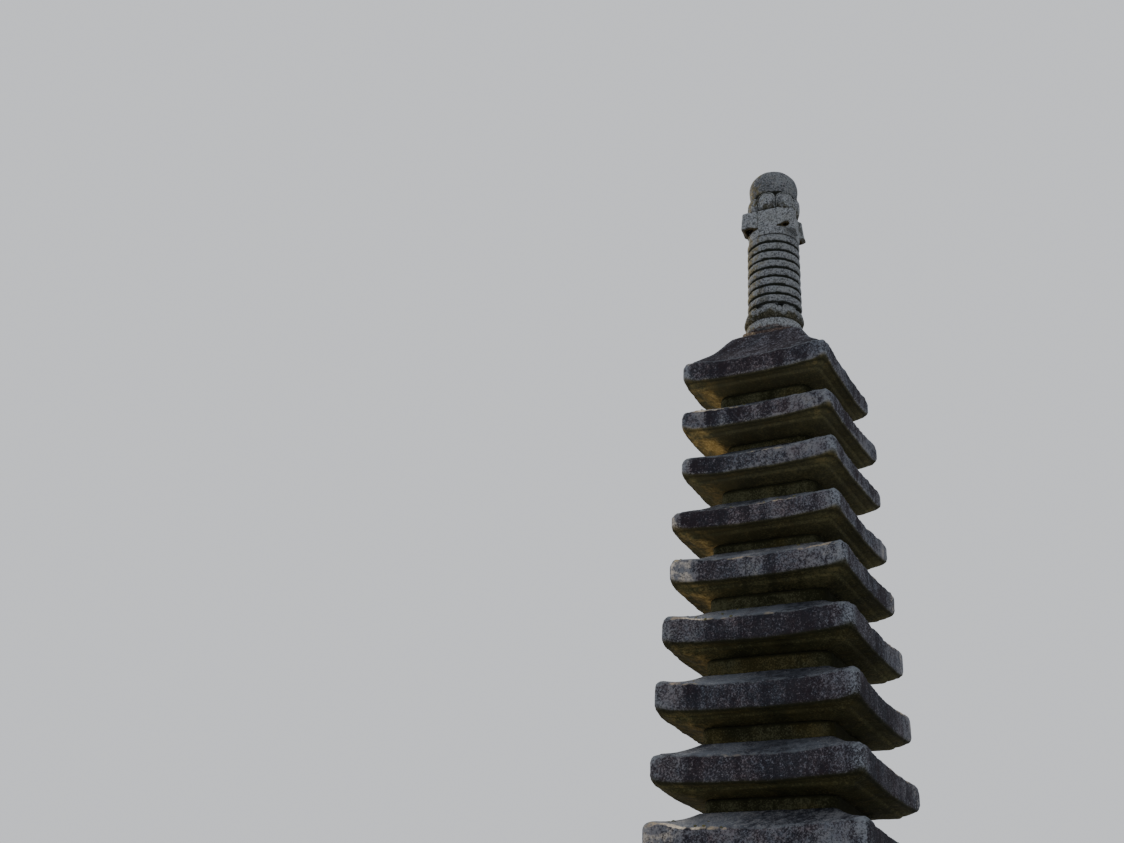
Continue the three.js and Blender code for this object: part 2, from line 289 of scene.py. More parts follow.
def ramp(tree, value, low, high):
    """Soft step from 0 at low to 1 at high."""
    return node_value(tree, "ShaderNodeMapRange", {0: value, 1: low, 2: high},
                      interpolation_type="SMOOTHSTEP")


def cloud(tree, place, seed, scale, detail=2.0, rough=0.5):
    """Smooth random value, 0 to 1, about the middle."""
    return node_value(
        tree, "ShaderNodeTexNoise",
        {"Vector": place, "W": seed, "Scale": scale, "Detail": detail, "Roughness": rough},
        noise_dimensions="4D",
    )


def vector_step(tree, operation, first, second):
    """One step of arithmetic on a place, with another place or, to scale it, with a number."""
    key = "Scale" if operation == "SCALE" else 1
    return node_value(tree, "ShaderNodeVectorMath", {0: first, key: second}, operation=operation)


def tint(tree, amount, first, second):
    """Blend two colours, given as values or sockets."""
    first, second = (
        value if isinstance(value, bpy.types.NodeSocket) else (*value, 1) for value in (first, second)
    )
    made = place_node(tree, "ShaderNodeMix", {0: amount, 6: first, 7: second}, data_type="RGBA")
    return made.outputs[2]


def wash(tree, face, colour, *masks):
    """Tint a colour towards another, as far as the product of the masks says."""
    return tint(tree, product(tree, *masks), face, colour)


def open_tree(name, kind, inputs, outputs):
    """Start a node group with named inputs and outputs, and return it with its two ends."""
    tree = bpy.data.node_groups.new(name, kind)
    for label, (socket, value) in inputs.items():
        made = tree.interface.new_socket(name=label, in_out="INPUT", socket_type=socket)
        if value is not None:
            made.default_value = value
    for label, socket in outputs.items():
        tree.interface.new_socket(name=label, in_out="OUTPUT", socket_type=socket)
    start = tree.nodes.new("NodeGroupInput")
    end = tree.nodes.new("NodeGroupOutput")
    return tree, start.outputs, end.inputs


NUMBER = "NodeSocketFloat"
WHOLE = "NodeSocketInt"
VECTOR = "NodeSocketVector"
SHAPE = "NodeSocketGeometry"
OBJECT = "NodeSocketObject"
MATERIAL = "NodeSocketMaterial"


def own_mark(tree, name):
    """A stone's own mark, inside a geometry tree."""
    return node_value(tree, "GeometryNodeInputNamedAttribute", {"Name": name}, data_type="FLOAT")


def store_mark(tree, shape, name, value):
    """Write a mark on a shape's points, inside a geometry tree."""
    return node_value(tree, "GeometryNodeStoreNamedAttribute",
                      {"Geometry": shape, "Name": name, "Value": value},
                      data_type="FLOAT", domain="POINT")


def pattern_shape(tree, pattern):
    """Shape of an object that a tree is given, where it was made."""
    made = place_node(tree, "GeometryNodeObjectInfo", {"Object": pattern}, transform_space="ORIGINAL")
    return made.outputs["Geometry"]


def close_tree(tree, shape, finish, end):
    """End a geometry tree with its copies made real and its finish set."""
    whole = node_value(tree, "GeometryNodeRealizeInstances", {0: shape})
    done = node_value(tree, "GeometryNodeSetMaterial", {0: whole, "Material": finish})
    tree.links.new(done, end)


# Weathering of the stones

def weathering_tree():
    """Uneven dressed faces, worn rims and chips on a stone, pushed along its own surface."""
    tree, given, out = open_tree("weathered_stone", "GeometryNodeTree", {
        "Stone": (SHAPE, None),
        "Unevenness": (NUMBER, 0.002),
        "Unevenness per metre": (NUMBER, 6.0),
        "Tooling": (NUMBER, 0.0008),
        "Tooling per metre": (NUMBER, 55.0),
        "Rim wear": (NUMBER, 0.004),
        "Chip depth": (NUMBER, 0.008),
        "Chip share": (NUMBER, 0.3),
        "Seed": (NUMBER, 0.0),
        "Finish": (MATERIAL, None),
    }, {"Stone": SHAPE})
    place = node_value(tree, "GeometryNodeInputPosition")
    facing = node_value(tree, "GeometryNodeInputNormal")
    rim, seat = own_mark(tree, "rim"), own_mark(tree, "seat")

    def uneven(amount, detail=2.0, rough=0.5):
        value = cloud(tree, place, given["Seed"], given[f"{amount} per metre"], detail, rough)
        return product(tree, less(tree, value, 0.5), given[amount], 4.0)

    raised = total(tree, uneven("Unevenness"), uneven("Tooling", 3.0, 0.6))
    ragged = ramp(tree, cloud(tree, place, given["Seed"], 18.0, 3.0, 0.6), 0.35, 0.7)
    worn = product(tree, rim, given["Rim wear"], total(tree, product(tree, ragged, 1.2), 0.3))
    cells = place_node(tree, "ShaderNodeTexVoronoi",
                       {"Vector": place, "W": given["Seed"], "Scale": 16.0}, voronoi_dimensions="4D")
    chance = node_value(tree, "FunctionNodeSeparateColor", {0: cells.outputs["Color"]})
    chosen = calc(tree, "LESS_THAN", chance, given["Chip share"])
    chipped = product(tree, ramp(tree, cells.outputs["Distance"], 0.45, 0.1), chosen, rim)
    height = less(tree, raised, total(tree, worn, product(tree, chipped, given["Chip depth"])))
    height = product(tree, height, less(tree, 1.0, seat))
    moved = node_value(tree, "GeometryNodeSetPosition", {
        "Geometry": given["Stone"], "Offset": vector_step(tree, "SCALE", facing, height),
    })
    kept = store_mark(tree, moved, "chipped", chipped)
    smooth = node_value(tree, "GeometryNodeSetShadeSmooth", {0: kept})
    close_tree(tree, smooth, given["Finish"], out["Stone"])
    return tree


def ring_tree():
    """Copies of one petal with its share of the block, set round the upright axis and joined at
    their seams."""
    tree, given, out = open_tree("set_round_axis", "GeometryNodeTree", {
        "Piece": (OBJECT, None),
        "Count": (WHOLE, 8),
        "Start angle": (NUMBER, 0.0),
        "Finish": (MATERIAL, None),
    }, {"Ring": SHAPE})
    spots = node_value(tree, "GeometryNodeMeshLine", {"Count": given["Count"], "Offset": (0, 0, 0)})
    step = calc(tree, "DIVIDE", math.tau, given["Count"])
    index = node_value(tree, "GeometryNodeInputIndex")
    angle = total(tree, product(tree, index, step), given["Start angle"])
    copies = node_value(tree, "GeometryNodeInstanceOnPoints", {
        "Points": spots, "Instance": pattern_shape(tree, given["Piece"]),
        "Rotation": node_value(tree, "ShaderNodeCombineXYZ", {"Z": angle}),
    })
    whole = node_value(tree, "GeometryNodeRealizeInstances", {0: copies})
    joined = node_value(tree, "GeometryNodeMergeByDistance",
                        {"Geometry": whole, "Distance": SEAM_MERGE})
    close_tree(tree, joined, given["Finish"], out["Ring"])
    return tree


def shaft_tree():
    """Round shaft cut into rings by narrow grooves, made from a flat sheet rolled up by rule."""
    tree, given, out = open_tree("ringed_shaft", "GeometryNodeTree", {
        "Radius": (NUMBER, 0.139),
        "Taper": (NUMBER, 0.005),
        "Height": (NUMBER, 0.428),
        "Rings": (NUMBER, 8.0),
        "Groove depth": (NUMBER, 0.012),
        "Groove share": (NUMBER, 0.24),
        "Ring swell": (NUMBER, 0.0035),
        "Stops round": (WHOLE, 128),
        "Stops up": (WHOLE, 128),
        "Finish": (MATERIAL, None),
    }, {"Shaft": SHAPE})
    sheet = node_value(tree, "GeometryNodeMeshGrid", {
        "Size X": 1.0, "Size Y": 1.0,
        "Vertices X": total(tree, given["Stops round"], 1.0), "Vertices Y": given["Stops up"],
    })
    flat = place_node(tree, "ShaderNodeSeparateXYZ",
                      {0: node_value(tree, "GeometryNodeInputPosition")})
    angle = product(tree, total(tree, flat.outputs[0], 0.5), math.tau)
    run = product(tree, total(tree, flat.outputs[1], 0.5), given["Rings"])
    # Rows lie closer together beside the grooves
    crowd = product(tree, calc(tree, "SINE", product(tree, run, math.tau)), -0.12)
    level = total(tree, run, crowd)
    in_ring = calc(tree, "FRACT", level)
    from_groove = calc(tree, "MINIMUM", in_ring, less(tree, 1.0, in_ring))
    beyond = calc(tree, "DIVIDE", from_groove, given["Groove share"])
    cut = calc(tree, "POWER", calc(tree, "SUBTRACT", 1.0, beyond, clamp=True), 1.7)
    bow = calc(tree, "SINE", product(tree, in_ring, math.pi))
    share = calc(tree, "DIVIDE", level, given["Rings"])
    reach = less(tree, given["Radius"], product(tree, given["Taper"], share))
    reach = total(tree, reach, product(tree, bow, given["Ring swell"]))
    reach = less(tree, reach, product(tree, cut, given["Groove depth"]))
    rolled = node_value(tree, "ShaderNodeCombineXYZ", {
        "X": product(tree, calc(tree, "COSINE", angle), reach),
        "Y": product(tree, calc(tree, "SINE", angle), reach),
        "Z": product(tree, share, given["Height"]),
    })
    # The grooves are marked to be painted dark as shade
    marked = store_mark(tree, sheet, "groove", ramp(tree, from_groove, 0.24, 0.07))
    shaft = node_value(tree, "GeometryNodeSetPosition", {"Geometry": marked, "Position": rolled})
    ends = tree.nodes.new("GeometryNodeJoinGeometry")
    tree.links.new(shaft, ends.inputs[0])
    for end, narrow in ((0.0, 0.0), (1.0, given["Taper"])):
        radius = less(tree, given["Radius"], total(tree, given["Groove depth"], narrow))
        disc = node_value(tree, "GeometryNodeMeshCircle", {
            "Vertices": given["Stops round"], "Radius": radius,
        }, fill_type="TRIANGLE_FAN")
        lift = node_value(tree, "ShaderNodeCombineXYZ", {"Z": product(tree, given["Height"], end)})
        raised = node_value(tree, "GeometryNodeTransform", {"Geometry": disc, "Translation": lift})
        tree.links.new(raised, ends.inputs[0])
    sealed = node_value(tree, "GeometryNodeMergeByDistance",
                        {"Geometry": ends.outputs[0], "Distance": SEAM_MERGE})
    close_tree(tree, sealed, given["Finish"], out["Shaft"])
    return tree


def tuft_tree():
    """Small cushions of moss scattered over a stone by its moss mark."""
    tree, given, out = open_tree("moss_cushions", "GeometryNodeTree", {
        "Stone": (SHAPE, None),
        "Cushion": (OBJECT, None),
        "Per square metre": (NUMBER, 900.0),
        "Smallest": (NUMBER, 0.3),
        "Largest": (NUMBER, 1.0),
        "Seed": (WHOLE, 1),
        "Finish": (MATERIAL, None),
    }, {"Moss": SHAPE})
    spots = place_node(tree, "GeometryNodeDistributePointsOnFaces", {
        "Mesh": given["Stone"], "Seed": given["Seed"],
        "Density": product(tree, own_mark(tree, "moss"), given["Per square metre"]),
    })
    size = place_node(tree, "FunctionNodeRandomValue", {
        2: given["Smallest"], 3: given["Largest"], "Seed": given["Seed"],
    }, data_type="FLOAT")
    copies = node_value(tree, "GeometryNodeInstanceOnPoints", {
        "Points": spots.outputs["Points"], "Instance": pattern_shape(tree, given["Cushion"]),
        "Rotation": spots.outputs["Rotation"], "Scale": size.outputs[1],
    })
    smooth = node_value(tree, "GeometryNodeSetShadeSmooth", {0: copies})
    close_tree(tree, smooth, given["Finish"], out["Moss"])
    return tree


def run_tree(mesh, tree, values):
    """Evaluate a tree on a mesh, and return the result as a plain mesh."""
    holder = show("holder", mesh)
    modifier = holder.modifiers.new(tree.name, "NODES")
    modifier.node_group = tree
    for item in tree.interface.items_tree:
        if item.in_out == "INPUT" and item.name in values:
            modifier[item.identifier] = values[item.name]
    return take_result(holder)


def take_result(holder):
    """Turn an object with modifiers into a plain mesh, and remove the object."""
    bpy.context.view_layer.update()
    graph = bpy.context.evaluated_depsgraph_get()
    result = bpy.data.meshes.new_from_object(
        holder.evaluated_get(graph), preserve_all_data_layers=True, depsgraph=graph,
    )
    old = holder.data
    bpy.data.objects.remove(holder)
    bpy.data.meshes.remove(old)
    return result


def tidy_mesh(mesh):
    """Merge doubled points and turn all faces outwards."""
    edit = bmesh.new()
    edit.from_mesh(mesh)
    bmesh.ops.remove_doubles(edit, verts=edit.verts, dist=POINT_MERGE)
    bmesh.ops.recalc_face_normals(edit, faces=edit.faces)
    edit.to_mesh(mesh)
    edit.free()


def write_marks(mesh, marks):
    """Store lists of marks on a mesh's points."""
    for mark, values in marks.items():
        mesh.attributes.new(mark, "FLOAT", "POINT").data.foreach_set("value", values)


def read_mark(mesh, mark):
    """Values of one mark on a mesh's points."""
    values = [0.0] * len(mesh.vertices)
    mesh.attributes[mark].data.foreach_get("value", values)
    return values


# Stones from rings

def soft_step(value, low, high):
    """0 below low, 1 above high, and smooth between."""
    run = min(1.0, max(0.0, (value - low) / (high - low)))
    return run * run * (3 - 2 * run)


def square_stops(side_steps, corner_steps):
    """Stops round a square with round corners, each as (inner x, inner y, outward x, outward y)."""
    stops = []
    for corner, (sign_x, sign_y) in enumerate(CORNERS):
        start = -math.pi / 2 + corner * math.pi / 2
        for step in range(corner_steps + 1):
            angle = start + step / corner_steps * math.pi / 2
            stops.append((sign_x, sign_y, math.cos(angle), math.sin(angle)))
        next_x, next_y = CORNERS[(corner + 1) % 4]
        out_x, out_y = (sign_x + next_x) / 2, (sign_y + next_y) / 2
        for step in range(1, side_steps):
            run = -1 + 2 * step / side_steps
            along_x, along_y = (next_x - sign_x) / 2 * run, (next_y - sign_y) / 2 * run
            stops.append((out_x + along_x, out_y + along_y, out_x, out_y))
    return stops


def round_stops(count):
    """Stops round a circle, in the same form."""
    angles = [step / count * math.tau for step in range(count)]
    return [(0, 0, math.cos(angle), math.sin(angle)) for angle in angles]


def corner_share(x, y, half):
    """Share of the way from mid-side to corner, 0 to 1."""
    return min(1.0, min(abs(x), abs(y)) / half)


def pair(half):
    """Half sides along x and y, from one number or two."""
    return half if isinstance(half, tuple) else (half, half)


class Skin:
    """Closed skin of a stone through a stack of rings, from the middle of its underside to the
    middle of its top, with marks on every point."""

    def __init__(self, stops):
        self.stops = stops
        self.points = []
        self.marks = {mark: [] for mark in MARKS}

    def ring(self, half, radius, height, inset=None, **marks):
        """Add one ring; half may be a pair, and height and inset functions of the point."""
        half_x, half_y = pair(half)
        radius = min(radius, half_x, half_y)
        for inner_x, inner_y, out_x, out_y in self.stops:
            x = inner_x * (half_x - radius) + out_x * radius
            y = inner_y * (half_y - radius) + out_y * radius
            level = height(x, y) if callable(height) else height
            pull = inset(x, y) if inset else 0.0
            self.points.append((x - out_x * pull, y - out_y * pull, level))
        for mark in MARKS:
            self.marks[mark] += [marks.get(mark, 0.0)] * len(self.stops)

    def flat(self, half, radius, height, rings, outwards, **marks):
        """Add the rings of a flat end, between its middle and its rim."""
        half_x, half_y = pair(half)
        shares = [(step + 1) / (rings + 1) for step in range(rings)]
        for share in shares if outwards else shares[::-1]:
            self.ring((half_x * share, half_y * share), radius * share, height, **marks)

    def mesh(self, name):
        """Mesh of the skin, closed at both ends by a fan."""
        count = len(self.stops)
        rings = len(self.points) // count
        faces = []
        for level in range(rings - 1):
            for step in range(count):
                a, b = level * count + step, level * count + (step + 1) % count
                faces.append((a, b, b + count, a + count))
        points = list(self.points)
        for first, flip in ((0, True), ((rings - 1) * count, False)):
            ring = self.points[first:first + count]
            middle = tuple(sum(point[axis] for point in ring) / count for axis in range(3))
            centre = len(points)
            points.append(middle)
            for step in range(count):
                a, b = first + step, first + (step + 1) % count
                faces.append((b, a, centre) if flip else (a, b, centre))
            for mark in MARKS:
                self.marks[mark].append(self.marks[mark][first])
        mesh = bpy.data.meshes.new(name)
        mesh.from_pydata(points, [], faces)
        write_marks(mesh, self.marks)
        return mesh


def move_mesh(mesh, x=0.0, y=0.0, z=0.0, turn=0.0):
    """Turn a mesh about the upright axis and move it to its place."""
    mesh.transform(Matrix.Translation((x, y, z)) @ Matrix.Rotation(math.radians(turn), 4, "Z"))


def square_node(node, turn, radius):
    """Centre, half width, floor and top of a square node that was turned a little."""
    low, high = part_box(node)
    angle = abs(math.radians(turn))
    reach = (high.x - low.x) / 2
    half = (reach + radius * math.sin(angle)) / (math.cos(angle) + math.sin(angle))
    return (low.x + high.x) / 2, (low.y + high.y) / 2, half, low.z, high.z


# Shared node groups and finishes by name, and the dressed stones by node
GROUPS = {}
FINISHES = {}
DRESSED = {}


def finish_stone(node, mesh, finish, seed, wear):
    """Weather a stone's mesh, and put it in the place of its solid, in the finish's own slot."""
    values = {"Seed": float(seed), "Finish": FINISHES[finish], **WEAR[wear]}
    stone = show(f"{node}_stone", run_tree(mesh, GROUPS["weathering"], values))
    stone.data.name = stone.name
    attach(stone, "root")
    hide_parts(node)
    DRESSED[node] = stone


# Roof stones

ROOF_STOPS = square_stops(88, 6)


def side_place(x, y):
    """Side that a point of a square stone belongs to, and its place along that side."""
    if abs(x) >= abs(y):
        side = "right" if x > 0 else "left"
        return side, y / max(abs(x), 1e-6)
    side = "back" if y > 0 else "front"
    return side, x / max(abs(y), 1e-6)


def window(place, centre, width):
    """1 inside a stretch of a side and 0 outside it, with soft ends."""
    return 1 / (1 + ((place - centre) / width) ** 4)


def stain_lists(name, index):
    """Stains of a stone's sides: those of the front as listed, the others drawn by lot."""
    draw = random.Random(100 + index)
    stains = {"front": {mark: listed.get(name) for mark, listed in STAINS.items()}}
    for side in SIDES:
        rows = stains.setdefault(side, {})
        for mark, (count, most) in STAIN_LOTS.items():
            drawn = [
                (draw.uniform(-0.8, 0.8), draw.uniform(0.06, 0.3), draw.uniform(0.3, most))
                for _ in range(count)
            ]
            if rows.get(mark) is None:
                rows[mark] = drawn
    near_grime_and_shade, far_pale = RIGHT_FACES.get(name, (0.0, 0.0))
    # On roof_05 this grime is painted shade that darkens the whole right face
    stains["right"]["soot"].append((-0.35, 1.2 if name == "roof_05" else 0.75, near_grime_and_shade))
    stains["right"]["pale"].append((0.95, 0.3, far_pale))
    return stains


def mark_stains(skin, name, index):
    """Mark a roof stone's corners, stains, painted sun patches, ochre algae with its painted warm glow
    and painted bluish skylight on its points.
    """
    stains = stain_lists(name, index)
    draw = random.Random(500 + index)
    lot = draw.random()
    corner_pale = [draw.uniform(0.55, 1.0) for _ in CORNERS]
    right_part = min(1.0, 1.5 - RIGHT_FACES.get(name, (0.3, 0))[0])
    largest = max(x for x, _, _ in skin.points)
    for spot, (x, y, _) in enumerate(skin.points):
        half = max(abs(x), abs(y), 1e-6)
        share = corner_share(x, y, half)
        side, place = side_place(x, y)
        quarter = CORNERS.index((1 if x > 0 else -1, 1 if y > 0 else -1))
        skin.marks["corner"][spot] = soft_step(share, 0.80, 0.98) * corner_pale[quarter]
        for mark in STAINS:
            value = 0.0
            for centre, width, strength in stains[side][mark]:
                value = max(value, strength * window(place, centre, width))
            skin.marks[mark][spot] = max(value, skin.marks[mark][spot])
        # Ochre algae under the left end of each roof, painted brighter as warm light coming in there and
        # strongest towards the body; a faint ochre near the near corner of the upper roofs
        left_end = soft_step(-x / largest, 0.50, 0.72) * soft_step(-y / largest, -1.1, -0.2)
        left_end *= 0.3 + 0.7 * soft_step(largest - half, 0.05, 0.13)
        near_corner = 0.15 * soft_step(index, 6, 11) * soft_step((x - y) / largest, 1.5, 1.9)
        skin.marks["ochre"][spot] = max(OCHRE_AND_GLOW_UNDER.get(name, 0.3) * left_end, near_corner)
        # Painted bluish skylight on the right faces and towards the right end of the front
        near_part = 0.9 * soft_step(place, 0.3, 1.0) if side == "front" else 0.3
        skin.marks["cool"][spot] = right_part if side == "right" else near_part
        skin.marks["lot"][spot] = lot
        if skin.marks["under"][spot] > 0.5:
            skin.marks["washed"][spot] = soft_step(index, 7, 11)
    if index == len(ROOFS) - 1:
        mark_crown(skin)


def mark_crown(skin):
    """The crown is as black and speckled as its upright faces, a little brown where water drips
    from the basin, and bleached to cream on the left."""
    top = max(z for _, _, z in skin.points)
    for spot, (x, y, z) in enumerate(skin.points):
        if skin.marks["slope"][spot] < 0.9:
            continue
        skin.marks["slope"][spot] = 0.0
        # Painted bluish skylight on the crown
        skin.marks["cool"][spot] = 0.8
        skin.marks["soot"][spot] = 0.50 + 0.30 * soft_step(-x - z + top, 0.2, 0.5)
        skin.marks["earth"][spot] = 0.45 * soft_step(z, top - 0.035, top - 0.015)
        skin.marks["pale"][spot] = 1.6 * soft_step(z, top - 0.024, top - 0.010) * soft_step(-x, 0.08, 0.13)


def roof_mesh(name, index, half, eaves, body_half, top_half, rise):
    """Skin of one roof stone. Its zero height is the lower edge of the eaves at mid-side."""
    wear = CORNER_WEAR.get(name, (0, 0, 0, 0))
    corner_lift = {
        signs: EAVES_UPTURN + (CORNER_RISE[index] + change) / 1000
        for signs, change in zip(CORNERS, wear)
    }
    lip = half - 2 * half * LIP_SHARE
    radius = WORN_CORNER_RADIUS

    def waver(x, y, amount, shift):
        broad = noise.noise(Vector((6 * x, 6 * y, index + shift)))
        short = noise.noise(Vector((21 * x, 21 * y, index + shift)))
        return amount * (broad + 0.35 * short)

    def worn(amount, size):
        return lambda x, y: amount * soft_step(corner_share(x, y, size), 0.80, 0.99)

    def low_edge(size, share=1.0):
        def height(x, y):
            even = EAVES_UPTURN * corner_share(x, y, size) ** UPTURN_POWER
            return share * (even + waver(x, y, LOW_WAVER, 0.5))
        return height

    def top_height(size, base, share=1.0):
        def height(x, y):
            lift = corner_lift[(1 if x > 0 else -1, 1 if y > 0 else -1)]
            lift = lift * corner_share(x, y, size) ** UPTURN_POWER
            return base + share * (lift + waver(x, y, TOP_WAVER, 40.5))
        return height

    def foot_height(size, turn):
        low, extra = low_edge(size), worn(CORNER_FOOT_ARRIS, size)
        return lambda x, y: low(x, y) + (FOOT_ARRIS + extra(x, y)) * (1 - math.cos(turn))

    def arris_height(size, turn):
        high, extra = top_height(size, eaves), worn(CORNER_ARRIS, size)
        return lambda x, y: high(x, y) - (ARRIS + extra(x, y)) * (1 - math.sin(turn))

    def face_height(share):
        bottom, top = foot_height(half, math.pi / 2), arris_height(half, 0.0)
        return lambda x, y: bottom(x, y) + share * (top(x, y) - bottom(x, y))

    # The upper roofs have a painted highlight along the lower edge of the eaves
    edge_highlight = soft_step(index, 7, 10)
    skin = Skin(ROOF_STOPS)
    skin.flat(body_half, radius, -FIELD_STEP - FIELD_SLOPE, 2, True, under=1.0, seat=1.0)
    field_rings = 7
    for step in range(field_rings + 1):
        run = step / field_rings
        size = body_half + run * (lip - FIELD_STEP - body_half)
        skin.ring(size, radius, -FIELD_STEP - FIELD_SLOPE * (1 - run) ** 1.2, under=1.0)
    skin.ring(lip - FIELD_STEP * 0.65, radius, -FIELD_STEP * 0.92, under=1.0, rim=0.3)
    skin.ring(lip - FIELD_STEP * 0.35, radius, -FIELD_STEP * 0.5, under=1.0, rim=0.2)
    # The groove mark from here to the foot of the fascia is a painted shadow line along the lip and the
    # lower edge of the eaves
    skin.ring(lip - FIELD_STEP * 0.1, radius, -FIELD_STEP * 0.1, under=1.0, groove=0.2)
    skin.ring(lip, radius, 0.0, under=1.0, groove=0.4)
    for run in (0.3, 0.6, 0.85):
        size = lip + run * (half - FOOT_ARRIS - lip)
        skin.ring(size, radius, low_edge(size, run ** 1.5), worn(CORNER_FOOT_ARRIS * run, size),
                  under=1.0, groove=0.5 * soft_step(run, 0.6, 0.9))
    for angle, rim, under in ((0.0, 0.2, 1.0), (0.35, 0.4, 1.0), (0.7, 0.5, 0.85), (1.0, 0.4, 0.3)):
        turn = angle * math.pi / 2
        size = half - FOOT_ARRIS * (1 - math.sin(turn))
        pull = worn(CORNER_FOOT_ARRIS * (1 - math.sin(turn)), size)
        skin.ring(size, radius, foot_height(size, turn), pull, rim=rim, under=under,
                  groove=1 - 0.6 * edge_highlight * angle, pale=0.7 * edge_highlight * angle)
    face_rings = 12
    for step in range(1, face_rings):
        run = step / face_rings
        skin.ring(half, radius, face_height(run), rim=0.35 * soft_step(run, 0.8, 1.0),
                  pale=0.75 * edge_highlight * (1 - soft_step(run, 0.05, 0.25)))
    for angle, rim in ((0.0, 0.6), (0.25, 0.85), (0.5, 1.0), (0.75, 0.9), (1.0, 0.7)):
        turn = angle * math.pi / 2
        size = half - ARRIS * (1 - math.cos(turn))
        pull = worn(CORNER_ARRIS * (1 - math.cos(turn)), size)
        skin.ring(size, radius, arris_height(size, turn), pull, rim=rim, crest=rim, slope=angle ** 2)
    slope_rings = 12
    for step in range(1, slope_rings + 1):
        run = (step / slope_rings) ** 1.15
        size = half - ARRIS - run * (half - ARRIS - top_half)
        height = eaves + rise * ((1 - TOP_CONCAVITY) * run + TOP_CONCAVITY * run ** 2)
        if index == len(ROOFS) - 1:
            height += CROWN_SHOULDER * soft_step(run, 0.45, 0.80) * (1 - soft_step(run, 0.84, 1.0))
        rim = 0.35 * (1 - soft_step(run, 0.0, 0.15))
        skin.ring(size, radius, top_height(size, height, (1 - run) ** 2),
                  worn(CORNER_ARRIS * (1 - run) ** 2, size), slope=1.0, rim=rim, crest=rim)
    skin.flat(top_half, radius, eaves + rise, 2, False, slope=1.0, seat=1.0)
    mark_stains(skin, name, index)
    return skin.mesh(name)


def add_roofs():
    """Make the thirteen roof stones."""
    for index, node in enumerate(ROOFS):
        turn = ROOF_TURNS[index]
        x, y, half, floor, top = square_node(node, turn, EAVES_CORNER_RADIUS)
        last = index == len(ROOFS) - 1
        if index == 0:
            body_half = square_node("first_storey_body", 0, FIRST_BODY_CORNER_RADIUS)[2]
        else:
            body_half = square_node(BODIES[index - 1], turn, BODY_CORNER_RADIUS)[2]
        if last:
            top_half = square_node("dew_basin", 0, BLOCK_CORNER_RADIUS)[2] + BASIN_MARGIN
            rise = CROWN_RISE
        else:
            top_half = square_node(BODIES[index], ROOF_TURNS[index + 1], BODY_CORNER_RADIUS)[2]
            top_half += BODY_MARGIN
            rise = TOP_SLOPE * (half - top_half)
        edge = floor + FIELD_STEP + FIELD_SLOPE
        mesh = roof_mesh(node, index, half, top - edge - rise, body_half + SOFFIT_MARGIN, top_half, rise)
        move_mesh(mesh, x, y, edge, turn)
        finish_stone(node, mesh, "roof_stone", 3.1 * index + 1, "roof")


# Bodies and blocks

def block_skin(half, radius, floor, top, spacing, arris=0.006, end_rings=3, seat_ends=True):
    """Skin of a plain block with soft arrises, with rings about as far apart as the spacing."""
    half_x, half_y = pair(half)
    side_steps = max(8, round(2 * max(half_x, half_y) / spacing))
    skin = Skin(square_stops(side_steps, 6))
    seat = 1.0 if seat_ends else 0.0
    inner = (half_x - arris, half_y - arris)
    skin.flat(inner, radius, floor, end_rings, True, seat=1.0)
    for share in (0.0, 0.5, 1.0):
        turn = share * math.pi / 2
        inset = arris * (1 - math.sin(turn))
        skin.ring((half_x - inset, half_y - inset), radius, floor + arris * (1 - math.cos(turn)),
                  rim=0.6, seat=0.5 * (1 - share))
    rows = max(3, round((top - floor - 2 * arris) / spacing))
    for step in range(1, rows):
        run = step / rows
        edge = min(run, 1 - run) * (top - floor)
        skin.ring((half_x, half_y), radius, floor + arris + run * (top - floor - 2 * arris),
                  rim=0.3 * (1 - soft_step(edge, 0.0, 0.03)))
    for share in (0.0, 0.5, 1.0):
        turn = share * math.pi / 2
        inset = arris * (1 - math.cos(turn))
        skin.ring((half_x - inset, half_y - inset), radius, top - arris * (1 - math.sin(turn)),
                  rim=0.9, seat=seat * 0.5 * share)
    skin.flat(inner, radius, top, end_rings, False, seat=seat)
    return skin


def mark_block(skin, seed, seam):
    """Mark a block's upright corners, its own lot, painted shade on its right side and a painted shadow
    line along the seam above the given level.
    """
    lot = random.Random(seed).random()
    for spot, (x, y, z) in enumerate(skin.points):
        reach = max(abs(x), abs(y), 1e-6)
        skin.marks["corner"][spot] = 0.5 * soft_step(corner_share(x, y, reach), 0.85, 0.98)
        # Painted shade on the right side, and a painted shadow line along the seam under the soffit
        shaded = soft_step((x - abs(y)) / reach, -0.24, 0.2)
        skin.marks["soot"][spot] = max(shaded, soft_step(z, seam, seam + 0.008))
        skin.marks["lot"][spot] = lot


def add_block(node, turn, radius, finish, seed, spacing, arris, wear, seat_ends=True, end_rings=3,
              worn_radius=None):
    """Make one plain block in the place of its solid."""
    low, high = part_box(node)
    x, y, half, floor, top = square_node(node, turn, radius)
    # The platform's slabs are longer one way
    if abs((high.x - low.x) - (high.y - low.y)) > 0.01:
        half = ((high.x - low.x) / 2, (high.y - low.y) / 2)
    skin = block_skin(half, worn_radius or radius, floor, top, spacing, arris, end_rings, seat_ends)
    mark_block(skin, seed, top - SEAM_SHADOW_HEIGHT if finish == "body_stone" else top + 1)
    mesh = skin.mesh(node)
    move_mesh(mesh, x, y, 0, turn)
    finish_stone(node, mesh, finish, seed, wear)


def add_bodies():
    """Make the low bodies between the roofs, and the taller one under the lowest roof."""
    for index, node in enumerate(BODIES):
        add_block(node, ROOF_TURNS[index + 1], BODY_CORNER_RADIUS, "body_stone", seed=40 + index,
                  spacing=0.014, arris=0.005, wear="body", worn_radius=WORN_BODY_CORNER_RADIUS)
    add_block("first_storey_body", 0, FIRST_BODY_CORNER_RADIUS, "body_stone", seed=70,
              spacing=0.013, arris=0.008, wear="first body")


